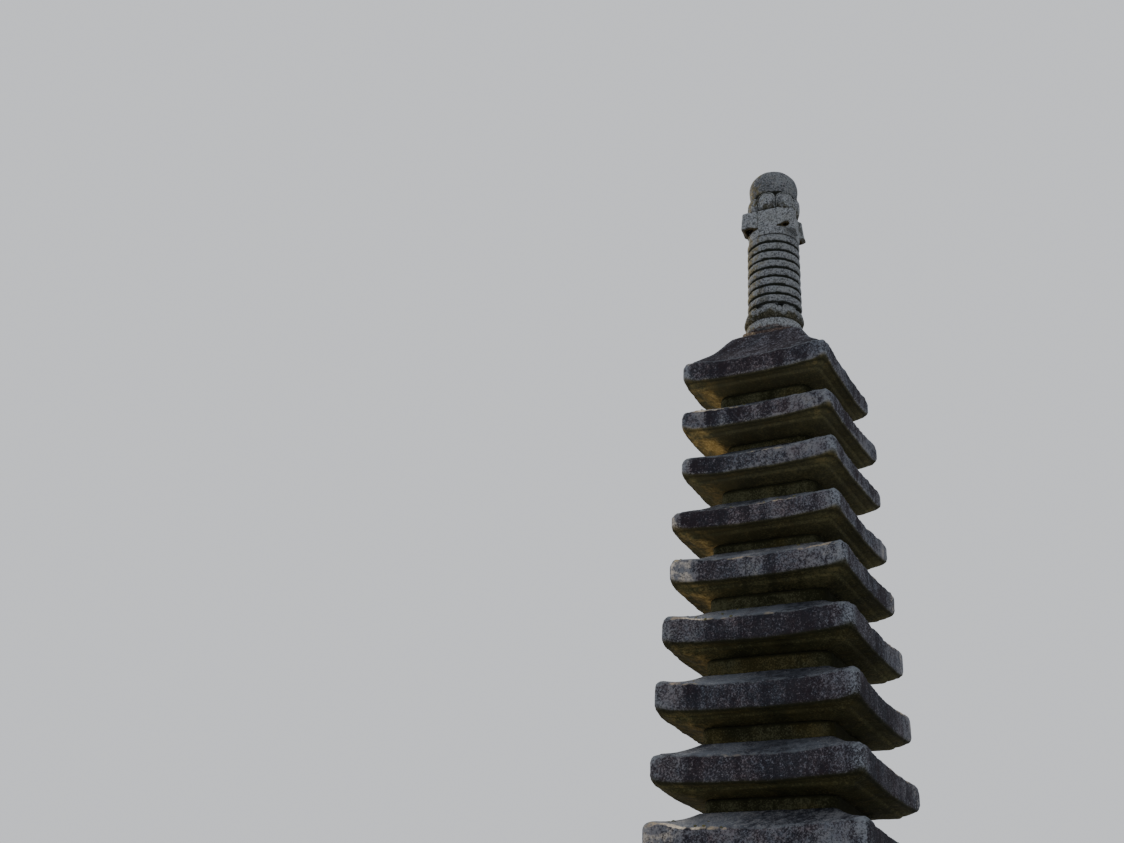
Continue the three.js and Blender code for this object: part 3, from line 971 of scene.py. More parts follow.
def add_foot():
    """Make the base stone and the platform of slabs."""
    blocks = [("base_stone", 81, 0.014, 0.012)]
    for index, name in enumerate((*(f"slab_{side}" for side in SIDES), "core")):
        blocks.append((f"platform_{name}", 90 + index, 0.016, 0.01))
    for node, seed, spacing, arris in blocks:
        add_block(node, 0, BLOCK_CORNER_RADIUS, "base_stone", seed, spacing, arris, "foot",
                  seat_ends=False, end_rings=10)


# Finial

OCHRE_SIDE = math.radians(214)
OCHRE_SPREAD = math.radians(42)


def round_size(node):
    """Height and half width of a round node."""
    low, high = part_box(node)
    return high.z - low.z, (high.x - low.x) / 2


def turned_skin(profile, count, seat_high=True):
    """Skin of a round stone from (radius, height, marks) stops of its outline, from the foot up."""
    skin = Skin(round_stops(count))
    radius, height, _ = profile[0]
    skin.flat(radius, radius, height, 2, True, seat=1.0)
    for radius, height, marks in profile:
        skin.ring(radius, radius, height, **marks)
    skin.flat(radius, radius, height, 2, False, seat=1.0 if seat_high else 0.0, **marks)
    return skin


def smooth_outline(stops, rows):
    """Points evenly spaced by parameter on a smooth curve through (radius, height) stops."""
    points = []
    count = len(stops) - 1
    for row in range(rows + 1):
        run = row / rows * count
        index = min(int(run), count - 1)
        t = run - index
        p0, p1 = stops[max(index - 1, 0)], stops[index]
        p2, p3 = stops[index + 1], stops[min(index + 2, count)]
        points.append(tuple(
            0.5 * (2 * b + (c - a) * t + (2 * a - 5 * b + 4 * c - d) * t ** 2
                   + (3 * b - a - 3 * c + d) * t ** 3)
            for a, b, c, d in zip(p0, p1, p2, p3)
        ))
    return points


def set_mark(mesh, mark, rule):
    """Write one mark on every point of a mesh, by a rule of its place and direction."""
    if mark not in mesh.attributes:
        mesh.attributes.new(mark, "FLOAT", "POINT")
    values = [rule(vertex.co, vertex.normal) for vertex in mesh.vertices]
    mesh.attributes[mark].data.foreach_set("value", values)


def ochre_side(place, facing):
    """Lichen grows on the side of the finial that gets the light."""
    if math.hypot(place.x, place.y) < 0.02:
        return 0.0
    away = math.atan2(place.y, place.x) - OCHRE_SIDE
    away = (away + math.pi) % math.tau - math.pi
    return math.exp(-(away / OCHRE_SPREAD) ** 2)


def add_finial_stone(node, mesh, seed, tone, lichen=ochre_side, wear="finial"):
    """Put a finial mesh, made about its own axis from height zero, in its node's place. The tone
    runs from 0, the darkest of the stones, to 1, the lightest."""
    low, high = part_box(node)
    tidy_mesh(mesh)
    set_mark(mesh, "crust", lichen)
    set_mark(mesh, "washed", lambda place, facing: tone)
    move_mesh(mesh, (low.x + high.x) / 2, (low.y + high.y) / 2, low.z)
    finish_stone(node, mesh, "finial_stone", seed, wear)


def add_basin():
    """Low square block under the bowl, worn down at its near corner and rough with crust."""
    node = "dew_basin"
    x, y, half, floor, top = square_node(node, 0, BLOCK_CORNER_RADIUS)
    height = top - floor
    skin = block_skin(half, BLOCK_CORNER_RADIUS, 0.0, height, spacing=0.008)
    for spot, (px, py, pz) in enumerate(skin.points):
        near = soft_step(px / half - py / half, 0.7, 2.0) * soft_step(math.hypot(px, py), 0.12, 0.17)
        skin.points[spot] = (px, py, pz - 0.012 * near * pz / height)
        skin.marks["earth"][spot] = 1.0
        # Painted sunlight on the left part of the basin
        skin.marks["pale"][spot] = soft_step(-px / half, 0.35, 0.6)
    mesh = skin.mesh(node)
    move_mesh(mesh, x, y, floor)
    finish_stone(node, mesh, "finial_stone", 20, "basin")


def add_bowl():
    """Inverted bowl under the lower lotus."""
    height, reach = round_size("finial_bowl")
    stops = [(reach - 0.004, 0.0), (reach + 0.001, height * 0.15), (reach, height * 0.4),
             (reach - 0.005, height * 0.75), (reach - 0.013, height)]
    profile = [(radius, level, {"earth": 0.6 * (1 - soft_step(level, height * 0.05, height * 0.36))})
               for radius, level in smooth_outline(stops, 24)]
    add_finial_stone("finial_bowl", turned_skin(profile, 128).mesh("bowl"), seed=21, tone=1.0)


def add_jewel():
    """Round-topped jewel on the upper lotus, drawn in at its foot."""
    height, reach = round_size("finial_jewel")
    reach += 0.001
    belt = height * 0.45
    stops = [(reach * 0.83, 0.0), (reach * 0.944, belt * 0.4), (reach * 0.985, belt * 0.7), (reach, belt)]
    steps = 7
    for step in range(1, steps):
        turn = step / steps * math.pi / 2
        stops.append((reach * math.cos(turn), belt + (height - belt) * math.sin(turn)))
    stops.append((reach * 0.05, height))
    # Painted shadow round the jewel's foot
    profile = [(radius, level, {"groove": 1 - soft_step(level, 0.010, 0.024)})
               for radius, level in smooth_outline(stops, 48)]
    skin = turned_skin(profile, 144, seat_high=False)
    add_finial_stone("finial_jewel", skin.mesh("jewel"), seed=27, tone=0.05, wear="jewel")


def add_ring_shaft():
    """Shaft of eight rings, by rule."""
    height, radius = round_size("finial_ring_shaft")
    made = run_tree(bpy.data.meshes.new("ring_shaft"), shaft_tree(), {
        "Height": height, "Radius": radius, "Finish": FINISHES["finial_stone"],
    })
    add_finial_stone("finial_ring_shaft", made, seed=24, tone=0.50, wear="shaft")


PETALS = 8


def petal_inside(across, run, width, shoulder):
    """How far a spot lies inside the arch of a petal, in half widths; negative outside it."""
    rise = max(0.0, run - shoulder) / (1.05 - shoulder)
    return 1 - ((abs(across) / width) ** 2.3 + rise ** 2.3) ** (1 / 2.3)


def petal_sector(name, radii, height, relief, border, width, moss_and_shade_level):
    """One petal and its share of the round block, as a wedge about the axis. The petal is an
    arch with a raised border and a swelling field; narrow petals leave room for a leaf between."""
    columns, rows = 40, 34
    outline = smooth_outline([(radius, height * level) for radius, level in radii], rows)
    wedge = math.tau / PETALS
    has_leaf = width < 0.9
    points, marks = [], {mark: [] for mark in MARKS}
    for radius, level in outline:
        run = level / height
        for column in range(columns + 1):
            across = -1 + 2 * column / columns
            inside = petal_inside(across, run, width, 0.60)
            raised = soft_step(inside, -0.02, 0.07)
            ridge = window(inside, 0.11, 0.06) * raised
            valley = window(inside, 0.24, 0.06) * raised
            swell = 0.35 * (1 - across ** 2) * soft_step(inside, 0.2, 0.6)
            leaf = 0.0
            if has_leaf:
                leaf = 0.55 * soft_step(petal_inside(1 - abs(across), run, 1.02 - width, 0.45), 0.0, 0.4)
            proud = max(raised * (0.65 + swell), leaf)
            reach = radius - relief * (1 - proud) + border * (ridge - 0.8 * valley)
            sink = 0.008 * (1 - raised) * soft_step(run, 0.6, 1.0)
            angle = across * wedge / 2
            points.append((reach * math.cos(angle), reach * math.sin(angle), level - sink))
            for mark in MARKS:
                marks[mark].append(0.0)
            # Painted shade in the hollows round and between the petals
            depth = 1 - raised - 1.1 * leaf
            marks["groove"][-1] = max(0.55 * depth if has_leaf else depth, 0.5 * valley)
            marks["rim"][-1] = 0.9 * ridge + 0.3 * soft_step(run, 0.85, 1.0) * raised
            # Moss on the lower part of each petal, darkened further as painted shade of the underside
            marks["soot"][-1] = 1 - soft_step(run + 0.15 * abs(across), moss_and_shade_level - 0.25, moss_and_shade_level + 0.3)
    faces = []
    stride = columns + 1
    for row in range(rows):
        for column in range(columns):
            a = row * stride + column
            faces.append((a, a + 1, a + 1 + stride, a + stride))
    for first, level, flip in ((0, 0.0, True), (rows * stride, height - 0.004, False)):
        centre = len(points)
        points.append((0.0, 0.0, level))
        for mark in MARKS:
            marks[mark].append(1.0 if mark == "seat" else 0.0)
        for column in range(columns):
            a, b = first + column, first + column + 1
            faces.append((b, a, centre) if flip else (a, b, centre))
    mesh = bpy.data.meshes.new(name)
    mesh.from_pydata(points, [], faces)
    write_marks(mesh, marks)
    return mesh


def add_lotus(node, tree, seed, tone, turn, radii, relief, border, width, moss_and_shade_level):
    """Round lotus block: one carved petal set eight times round the axis."""
    height, _ = round_size(node)
    sector = petal_sector(f"{node}_petal", radii, height, relief, border, width, moss_and_shade_level)
    pattern = show(sector.name, sector)
    made = run_tree(bpy.data.meshes.new(node), tree, {
        "Piece": pattern, "Count": PETALS, "Start angle": math.radians(turn),
        "Finish": FINISHES["finial_stone"],
    })
    bpy.data.objects.remove(pattern)
    add_finial_stone(node, made, seed, tone)


# Collar: a square block on a round foot, with its four corners left proud and hollow as lugs, in
# metres. The corners (near, right, back, left) each have the wear of the top, the level of the
# lower edge on the front or back face and on the side face, and the hollow's floor and ceiling.
# The levels, half width and pocket top say how far the painted shade inside a lug reaches.

COLLAR_TURN = 3.0
COLLAR_RADIUS = 0.1345
COLLAR_HALF = (0.141, 0.128)
COLLAR_FLARE = 0.007
COLLAR_TOP = 0.163
COLLAR_RECESS = {"front": 0.005, "right": 0.016, "back": 0.010, "left": 0.010}
COLLAR_CORNER = 0.013
COLLAR_ARRIS = 0.007
COLLAR_FOOT_ARRIS = 0.004
COLLAR_VOXEL = 0.0026
CORNER_SHARE = 0.93
LUG_SHARE = 0.42
LUG_WALL = 0.014
LUG_HALF = 0.062
LUG_LEVELS = (0.041, 0.125)
HOLLOW_DEPTH = 0.014
POCKET_FLOOR = 0.050
POCKET_TOP = 0.105
LUGS = {
    (1, -1): (0.018, 0.060, 0.010, 0.045, 0.086),
    (1, 1): (0.080, 0.060, 0.062, 0.001, 0.080),
    (-1, 1): (0.020, 0.056, 0.052, 0.001, 0.090),
    (-1, -1): (0.0, 0.062, 0.058, 0.001, 0.092),
}


def block_place(x, y):
    """Corner of the collar's block that a spot belongs to, and its share of the way there."""
    signs = (1 if x > 0 else -1, 1 if y > 0 else -1)
    return signs, min(1.0, min(abs(x) / COLLAR_HALF[0], abs(y) / COLLAR_HALF[1]) / CORNER_SHARE)


def collar_block():
    """Square block of the collar, with lugs a little proud and an uneven lower edge."""
    half_x, half_y = COLLAR_HALF

    def top(drop):
        def level(x, y):
            signs, share = block_place(x, y)
            return COLLAR_TOP - drop - LUGS[signs][0] * soft_step(share, 0.35, 0.95)
        return level

    def foot(lift):
        def level(x, y):
            signs, share = block_place(x, y)
            _, along_front, along_side, *_ = LUGS[signs]
            aside = soft_step(abs(x) / half_x - abs(y) / half_y, -0.12, -0.06)
            even = along_front + aside * (along_side - along_front)
            return even + lift - 0.012 * (1 - soft_step(share, 0.45, 0.75))
        return level

    def recess(x, y):
        side, _ = side_place(x / half_x, y / half_y)
        proud = soft_step(block_place(x, y)[1], LUG_SHARE - 0.02, LUG_SHARE + 0.02)
        return COLLAR_RECESS[side] * (1 - proud)

    def half(share, inset=0.0):
        return half_x + COLLAR_FLARE * (1 - share) - inset, half_y - inset

    skin = Skin(square_stops(56, 6))
    corner, arris = COLLAR_CORNER, COLLAR_ARRIS
    skin.flat(half(0, COLLAR_FOOT_ARRIS), corner, 0.030, 3, True)
    skin.ring(half(0, COLLAR_FOOT_ARRIS), corner, foot(0.0), recess)
    for run in (0.0, 0.2, 0.4, 0.6, 0.8):
        skin.ring(half(run), corner, lambda x, y, run=run: (
            foot(COLLAR_FOOT_ARRIS)(x, y) * (1 - run) + top(arris)(x, y) * run
        ), recess)
    for share in (0.0, 0.35, 0.7, 1.0):
        turn = share * math.pi / 2
        skin.ring(half(1, arris * (1 - math.cos(turn))), corner, top(arris * (1 - math.sin(turn))), recess)
    skin.flat(half(1, arris), corner, COLLAR_TOP - 0.003, 3, False)
    return skin.mesh("block")


def hollow_mesh(name, near, half_near, far, half_far, low, high):
    """Tapering prism, out along +X, that a lug's hollow is cut with."""
    plan = ((near, -half_near), (far, -half_far), (far, half_far), (near, half_near))
    spots = [(x, y, level) for level in (low, high) for x, y in plan]
    mesh = bpy.data.meshes.new(name)
    mesh.from_pydata(spots, [], [
        (3, 2, 1, 0), (4, 5, 6, 7), (0, 1, 5, 4), (1, 2, 6, 5), (2, 3, 7, 6), (3, 0, 4, 7),
    ])
    return mesh


def add_collar():
    """Round foot and square block with four hollow corner lugs, carved from one stone."""
    node = "finial_lug_collar"
    height, _ = round_size(node)
    radius = COLLAR_RADIUS
    stops = [(radius - 0.004, 0.0), (radius, 0.010), (radius, 0.052), (radius - 0.016, 0.080),
             (radius - 0.018, height - 0.020), (radius - 0.018, height)]
    profile = [(reach, level, {}) for reach, level in smooth_outline(stops, 30)]
    holder = show("collar", turned_skin(profile, 96).mesh("collar"))
    shapes = [(collar_block(), "UNION", COLLAR_TURN)]
    apex = math.hypot(*COLLAR_HALF) - LUG_WALL * math.sqrt(2) - 0.004
    for (sign_x, sign_y), (*_, low, ceiling) in LUGS.items():
        turn = COLLAR_TURN + lug_angle(sign_x, sign_y)
        near = radius + 0.0015
        half = apex - near
        hollow = hollow_mesh("hollow", near, half, apex, 0.004, low, ceiling)
        pocket = hollow_mesh("pocket", radius - HOLLOW_DEPTH, half, near + 0.003, half,
                             POCKET_FLOOR, ceiling)
        shapes += [(hollow, "DIFFERENCE", turn), (pocket, "DIFFERENCE", turn)]
    cutters = []
    for mesh, operation, turn in shapes:
        move_mesh(mesh, turn=turn)
        cutters.append(show(mesh.name, mesh))
        cut = holder.modifiers.new(mesh.name, "BOOLEAN")
        cut.operation = operation
        cut.solver = "EXACT"
        cut.object = cutters[-1]
    even = holder.modifiers.new("even", "REMESH")
    even.mode = "VOXEL"
    even.voxel_size = COLLAR_VOXEL
    soften = holder.modifiers.new("soften", "SMOOTH")
    soften.factor = 0.5
    soften.iterations = 3
    mesh = take_result(holder)
    for cutter in cutters:
        bpy.data.objects.remove(cutter)
    for mark in MARKS:
        set_mark(mesh, mark, lambda place, facing: 0.0)
    set_mark(mesh, "seat", lambda place, facing: (
        1 - soft_step(min(place.z, height - place.z), 0.0, 0.006)
    ))
    # Painted shade inside the lugs, and a painted glow of light on the far wall of each hollow
    set_mark(mesh, "under", inside_lug)
    set_mark(mesh, "ochre", lit_hollow)
    set_mark(mesh, "groove", beside_lug)
    set_mark(mesh, "rim", lug_edge)
    add_finial_stone(node, mesh, seed=25, tone=1.0, lichen=lambda place, facing: (
        0.7 * ochre_side(place, facing) * (1 - soft_step(place.z, 0.03, 0.06))
    ))


def lug_angle(sign_x, sign_y):
    """Direction of one corner of the block, in degrees, before the block is turned."""
    return math.degrees(math.atan2(sign_y * COLLAR_HALF[1], sign_x * COLLAR_HALF[0]))


def lug_place(place):
    """Reach from the axis and place across of a spot, in the frame of its nearest lug."""
    found = []
    for sign_x, sign_y in LUGS:
        turn = math.radians(COLLAR_TURN + lug_angle(sign_x, sign_y))
        reach = place.x * math.cos(turn) + place.y * math.sin(turn)
        found.append((reach, place.y * math.cos(turn) - place.x * math.sin(turn)))
    return max(found)


def inside_lug(place, facing):
    """Where shade is painted: 1 on the walls and the ceiling of a lug's hollow, and on its underside."""
    away = math.hypot(place.x, place.y)
    reach, across = lug_place(place)
    low, high = LUG_LEVELS
    if not low < place.z < high or abs(across) > LUG_HALF:
        return 0.0
    if away < COLLAR_RADIUS + 0.0005:
        deep = 1 - soft_step(away, COLLAR_RADIUS - 0.007, COLLAR_RADIUS - 0.003)
        return deep * (place.z < POCKET_TOP)
    within = reach + abs(across) < math.hypot(*COLLAR_HALF) - LUG_WALL * 0.7
    return max(1.0 if within else 0.0, 0.8 * soft_step(-facing.z, 0.35, 0.7))


def lit_hollow(place, facing):
    """1 on the far part of a hollow's inner wall: gold lichen under a painted glow of light."""
    away = math.hypot(place.x, place.y)
    _, across = lug_place(place)
    return (1 - soft_step(away, COLLAR_RADIUS - 0.006, COLLAR_RADIUS)) * soft_step(across, -0.004, 0.012)


def beside_lug(place, facing):
    """1 in the joint above the collar, and less where a lug stands proud of the block: painted shadow
    in the joint and beside each lug.
    """
    turn = math.radians(COLLAR_TURN)
    along = (place.x * math.cos(turn) + place.y * math.sin(turn)) / COLLAR_HALF[0]
    across = (place.y * math.cos(turn) - place.x * math.sin(turn)) / COLLAR_HALF[1]
    share = min(abs(along), abs(across)) / CORNER_SHARE
    step = window(share, LUG_SHARE, 0.03) * soft_step(place.z, 0.06, 0.10)
    return max(0.3 * step, 0.8 * soft_step(place.z, COLLAR_TOP - 0.001, COLLAR_TOP + 0.003))


def lug_edge(place, facing):
    """1 on the worn upper edges of the lugs, painted pale as a highlight."""
    away = math.hypot(place.x, place.y)
    raised = soft_step(away, COLLAR_RADIUS + 0.002, COLLAR_RADIUS + 0.010)
    return raised * soft_step(facing.z, 0.15, 0.5) * soft_step(place.z, 0.06, 0.1)


def add_finial():
    """Make the finial's stones from the basin up."""
    add_basin()
    add_bowl()
    copies = ring_tree()
    add_lotus(
        "finial_lower_lotus", copies, 22, tone=0.35, turn=9,
        radii=[(0.143, 0.0), (0.152, 0.12), (0.156, 0.3), (0.154, 0.5), (0.147, 0.75), (0.138, 0.92),
               (0.133, 1.0)],
        relief=0.012, border=0.0025, width=0.78, moss_and_shade_level=0.40,
    )
    add_ring_shaft()
    add_collar()
    add_lotus(
        "finial_upper_lotus", copies, 26, tone=0.95, turn=0,
        radii=[(0.129, 0.0), (0.137, 0.2), (0.142, 0.45), (0.143, 0.7), (0.141, 0.88), (0.137, 1.0)],
        relief=0.016, border=0.0050, width=0.985, moss_and_shade_level=0.16,
    )
    add_jewel()


# Finishes

def speckle_group():
    """Pale grains over darker ground; the cover, 0 to 1, says how much of the ground they hide."""
    tree, given, out = open_tree("stone_speckle", "ShaderNodeTree", {
        "Place": (VECTOR, None), "Seed": (NUMBER, 0.0), "Grains per metre": (NUMBER, 115.0),
        "Cover": (NUMBER, 0.4),
    }, {"Grain": NUMBER, "Relief": NUMBER})
    value = cloud(tree, given["Place"], given["Seed"], given["Grains per metre"], 3.0, 0.7)
    level = less(tree, 0.69, product(tree, given["Cover"], 0.38))
    tree.links.new(ramp(tree, less(tree, value, level), -0.07, 0.07), out["Grain"])
    tree.links.new(value, out["Relief"])
    return tree


def mottle_group():
    """Broad uneven tone, 0 to 1, with a chosen patch size."""
    tree, given, out = open_tree("broad_mottle", "ShaderNodeTree", {
        "Place": (VECTOR, None), "Seed": (NUMBER, 0.0), "Patches per metre": (NUMBER, 8.0),
        "Low": (NUMBER, 0.38), "High": (NUMBER, 0.62),
    }, {"Tone": NUMBER})
    tone = cloud(tree, given["Place"], given["Seed"], given["Patches per metre"], 5.0, 0.6)
    tree.links.new(ramp(tree, tone, given["Low"], given["High"]), out["Tone"])
    return tree


def streak_group():
    """Streaks that rain has drawn down upright faces."""
    tree, given, out = open_tree("rain_streaks", "ShaderNodeTree", {
        "Place": (VECTOR, None), "Seed": (NUMBER, 0.0), "Streaks per metre": (NUMBER, 22.0),
        "Low": (NUMBER, 0.48), "High": (NUMBER, 0.6),
    }, {"Streak": NUMBER})
    drawn = vector_step(tree, "MULTIPLY", given["Place"], (1.0, 1.0, 0.16))
    value = cloud(tree, drawn, given["Seed"], given["Streaks per metre"], 3.0, 0.6)
    tree.links.new(ramp(tree, value, given["Low"], given["High"]), out["Streak"])
    return tree


def lichen_group():
    """Round spots of lichen with ragged edges, a chosen share of them grown."""
    tree, given, out = open_tree("lichen_spots", "ShaderNodeTree", {
        "Place": (VECTOR, None), "Seed": (NUMBER, 0.0), "Spots per metre": (NUMBER, 60.0),
        "Cover": (NUMBER, 0.3),
    }, {"Spot": NUMBER})
    ragged = place_node(tree, "ShaderNodeTexNoise", {
        "Vector": given["Place"], "W": given["Seed"], "Scale": 150.0, "Detail": 2.0,
    }, noise_dimensions="4D")
    centred = vector_step(tree, "SUBTRACT", ragged.outputs[1], (0.5, 0.5, 0.5))
    place = vector_step(tree, "ADD", given["Place"], vector_step(tree, "SCALE", centred, 0.012))
    cells = place_node(tree, "ShaderNodeTexVoronoi", {
        "Vector": place, "W": given["Seed"], "Scale": given["Spots per metre"],
    }, voronoi_dimensions="4D")
    chance = place_node(tree, "ShaderNodeSeparateColor", {0: cells.outputs["Color"]})
    grown = ramp(tree, less(tree, given["Cover"], chance.outputs[0]), 0.0, 0.12)
    spread = total(tree, product(tree, chance.outputs[1], 0.3), 0.2)
    round_spot = ramp(tree, less(tree, spread, cells.outputs["Distance"]), 0.0, 0.12)
    tree.links.new(product(tree, grown, round_spot), out["Spot"])
    return tree


def use_group(tree, name, place, seed=0.0, inputs=None):
    """Place one of the shared effects in a material, and return its outputs."""
    values = {"Place": place, "Seed": seed, **(inputs or {})}
    return place_node(tree, "ShaderNodeGroup", values, node_tree=GROUPS[name]).outputs


def mark_values(tree, *names):
    """Values of a stone's own marks."""
    return [
        place_node(tree, "ShaderNodeAttribute", attribute_name=name).outputs["Fac"] for name in names
    ]


def open_material(name):
    """Start a rough stone material; returns its tree, its surface and the place on the stone."""
    material = bpy.data.materials.new(name)
    material.use_nodes = True
    tree = material.node_tree
    surface = tree.nodes["Principled BSDF"]
    surface.inputs["Specular IOR Level"].default_value = 0.05
    place = tree.nodes.new("ShaderNodeTexCoord").outputs["Object"]
    return material, tree, surface, place


def shape_surface(tree, surface, colour, rough, heights):
    """Feed colour, roughness and stacked bumps of (value, strength, depth) to the surface."""
    tree.links.new(colour, surface.inputs["Base Color"])
    tree.links.new(rough, surface.inputs["Roughness"])
    below = None
    for value, strength, depth in heights:
        bump = place_node(tree, "ShaderNodeBump",
                          {"Height": value, "Strength": strength, "Distance": depth})
        if below is not None:
            tree.links.new(below, bump.inputs["Normal"])
        below = bump.outputs[0]
    tree.links.new(below, surface.inputs["Normal"])


def ragged_mark(tree, mark, ragged, spread, low, high):
    """A mark with its edge broken up by a ragged tone."""
    broken = total(tree, mark, product(tree, less(tree, ragged, 0.5), spread))
    return ramp(tree, broken, low, high)


def roof_material():
    """Near-black stone under pale grains, with purple and blue tints and a painted bluish skylight on
    the right faces, rain streaks, cream lichen on the upper rims, painted patches of sunlight on the
    upper slopes, and olive soffits darkened as painted shade, with a painted warm glow under their
    left ends."""
    material, tree, surface, place = open_material("roof_stone")
    under, slope, crest, groove, chipped = mark_values(
        tree, "under", "slope", "crest", "groove", "chipped")
    ochre, earth, washed, cool = mark_values(tree, "ochre", "earth", "washed", "cool")
    lot, soot_mark, pale_mark, corner_mark, crust = mark_values(
        tree, "lot", "soot", "pale", "corner", "crust")
    lot = product(tree, lot, 20.0)
    mottle = use_group(tree, "mottle", place, lot)["Tone"]
    warm = use_group(tree, "mottle", place, 3.7, {"Patches per metre": 5.0})["Tone"]
    ragged = use_group(tree, "mottle", place, 9.1,
                       {"Patches per metre": 26.0, "Low": 0.35, "High": 0.62})["Tone"]
    streak = use_group(tree, "streaks", place, lot)["Streak"]
    sooted = ragged_mark(tree, soot_mark, ragged, 0.5, 0.15, 0.9)
    pale = ragged_mark(tree, pale_mark, ragged, 0.6, 0.2, 1.0)
    bleached = ragged_mark(tree, pale_mark, ragged, 0.9, 1.0, 1.9)
    corner = ragged_mark(tree, corner_mark, ragged, 0.35, 0.15, 1.1)

    # Share of the ground that the pale grains hide
    cover = total(tree, 0.37, product(tree, mottle, 0.08), product(tree, bleached, 0.04),
                  product(tree, cool, 0.05), product(tree, pale, 0.19), product(tree, corner, 0.07))
    cover = less(tree, cover, product(tree, sooted, 0.20), product(tree, streak, 0.12))
    grain = use_group(tree, "speckle", place, lot, {"Cover": cover})
    fine = use_group(tree, "speckle", place, lot, {"Grains per metre": 250.0, "Cover": cover})

    # Upright faces
    hue = ramp(tree, cloud(tree, place, 14.0, 55.0), 0.35, 0.65)
    hue = total(tree, product(tree, warm, 0.6), product(tree, hue, 0.4))
    ground = tint(tree, hue, (0.0150, 0.0160, 0.0215), (0.0210, 0.0155, 0.0190))
    ground = wash(tree, ground, (0.034, 0.034, 0.040), mottle, 0.3)
    ground = wash(tree, ground, (0.050, 0.055, 0.062), corner, 0.12)
    pebble = tint(tree, hue, (0.118, 0.132, 0.162), (0.160, 0.131, 0.140))
    # Painted bluish skylight on the right faces
    pebble = wash(tree, pebble, (0.136, 0.150, 0.182), cool, 0.7)
    pebble = wash(tree, pebble, (0.235, 0.262, 0.300), corner, 0.9)
    pebble = wash(tree, pebble, (0.200, 0.206, 0.222), pale, 0.6)
    pebble = wash(tree, pebble, (0.58, 0.52, 0.44), bleached)
    face = wash(tree, ground, pebble, fine["Grain"], 0.45)
    face = wash(tree, face, pebble, grain["Grain"], 0.75)

    # Upper slopes: from near black to blue-grey where painted patches of sunlight fall
    sunlit_slope = ragged_mark(tree, washed, ragged, 0.5, -0.42, 1.0)
    clean = tint(tree, sunlit_slope, (0.0120, 0.0135, 0.0190), (0.135, 0.150, 0.176))
    bits = tint(tree, sunlit_slope, (0.105, 0.107, 0.120), (0.300, 0.300, 0.305))
    face = wash(tree, face, wash(tree, clean, bits, grain["Grain"], 0.75), slope, 0.85)
    brown = tint(tree, grain["Grain"], (0.019, 0.015, 0.016), (0.185, 0.150, 0.138))
    sandy = tint(tree, grain["Grain"], (0.10, 0.075, 0.055), (0.55, 0.43, 0.33))
    drip = ragged_mark(tree, earth, ragged, 0.7, 0.3, 0.8)
    face = wash(tree, face, wash(tree, brown, sandy, bleached), drip)

    # Worn upper rims with grey and cream lichen, and the stone that chips have bared
    edge = ramp(tree, total(tree, crest, product(tree, ragged, 0.5)), 0.85, 1.25)
    face = wash(tree, face, (0.150, 0.168, 0.185), edge,
                total(tree, product(tree, corner, 0.3), 0.35))
    face = wash(tree, face, (0.105, 0.10, 0.098), chipped, 0.35)
    dry = tint(tree, warm, (0.38, 0.32, 0.21), (0.34, 0.26, 0.20))
    cream = wash(tree, dry, (0.80, 0.68, 0.52), ramp(tree, crust, 1.0, 1.8))
    face = wash(tree, face, cream, ragged_mark(tree, crust, ragged, 0.7, 0.45, 1.0), edge,
                total(tree, product(tree, grain["Grain"], 0.5), 0.5))

    # Soffits: a dark olive film of algae, darkened further as painted shade, ochre algae under the left
    # end with a painted glow of warm light, and a painted black-green shadow line along the lower edge of
    # the eaves
    # Olive film of algae, made darker as painted shade
    film = tint(tree, mottle, (0.0185, 0.0190, 0.0095), (0.0330, 0.0335, 0.0160))
    film = wash(tree, film, (0.070, 0.066, 0.040), washed, 0.6)
    film = wash(tree, film, (0.056, 0.046, 0.017), warm, 0.3)
    film = wash(tree, film, (0.100, 0.095, 0.046), grain["Grain"], 0.55)
    # Painted warm light under the left end, over ochre algae
    glow_and_algae = tint(tree, grain["Grain"], (0.290, 0.205, 0.070), (0.500, 0.365, 0.145))
    film = wash(tree, film, glow_and_algae, ragged_mark(tree, ochre, ragged, 0.35, 0.05, 1.05))
    # Painted shadow line along the lower edge of the eaves
    film = wash(tree, film, (0.0100, 0.0110, 0.0070), groove, 0.7)
    rough = total(tree, product(tree, mottle, 0.08), 0.88)
    shape_surface(tree, surface, wash(tree, face, film, under), rough, [
        (mottle, 0.25, 0.004), (grain["Relief"], 0.6, 0.004), (fine["Relief"], 0.35, 0.0015),
    ])
    return material


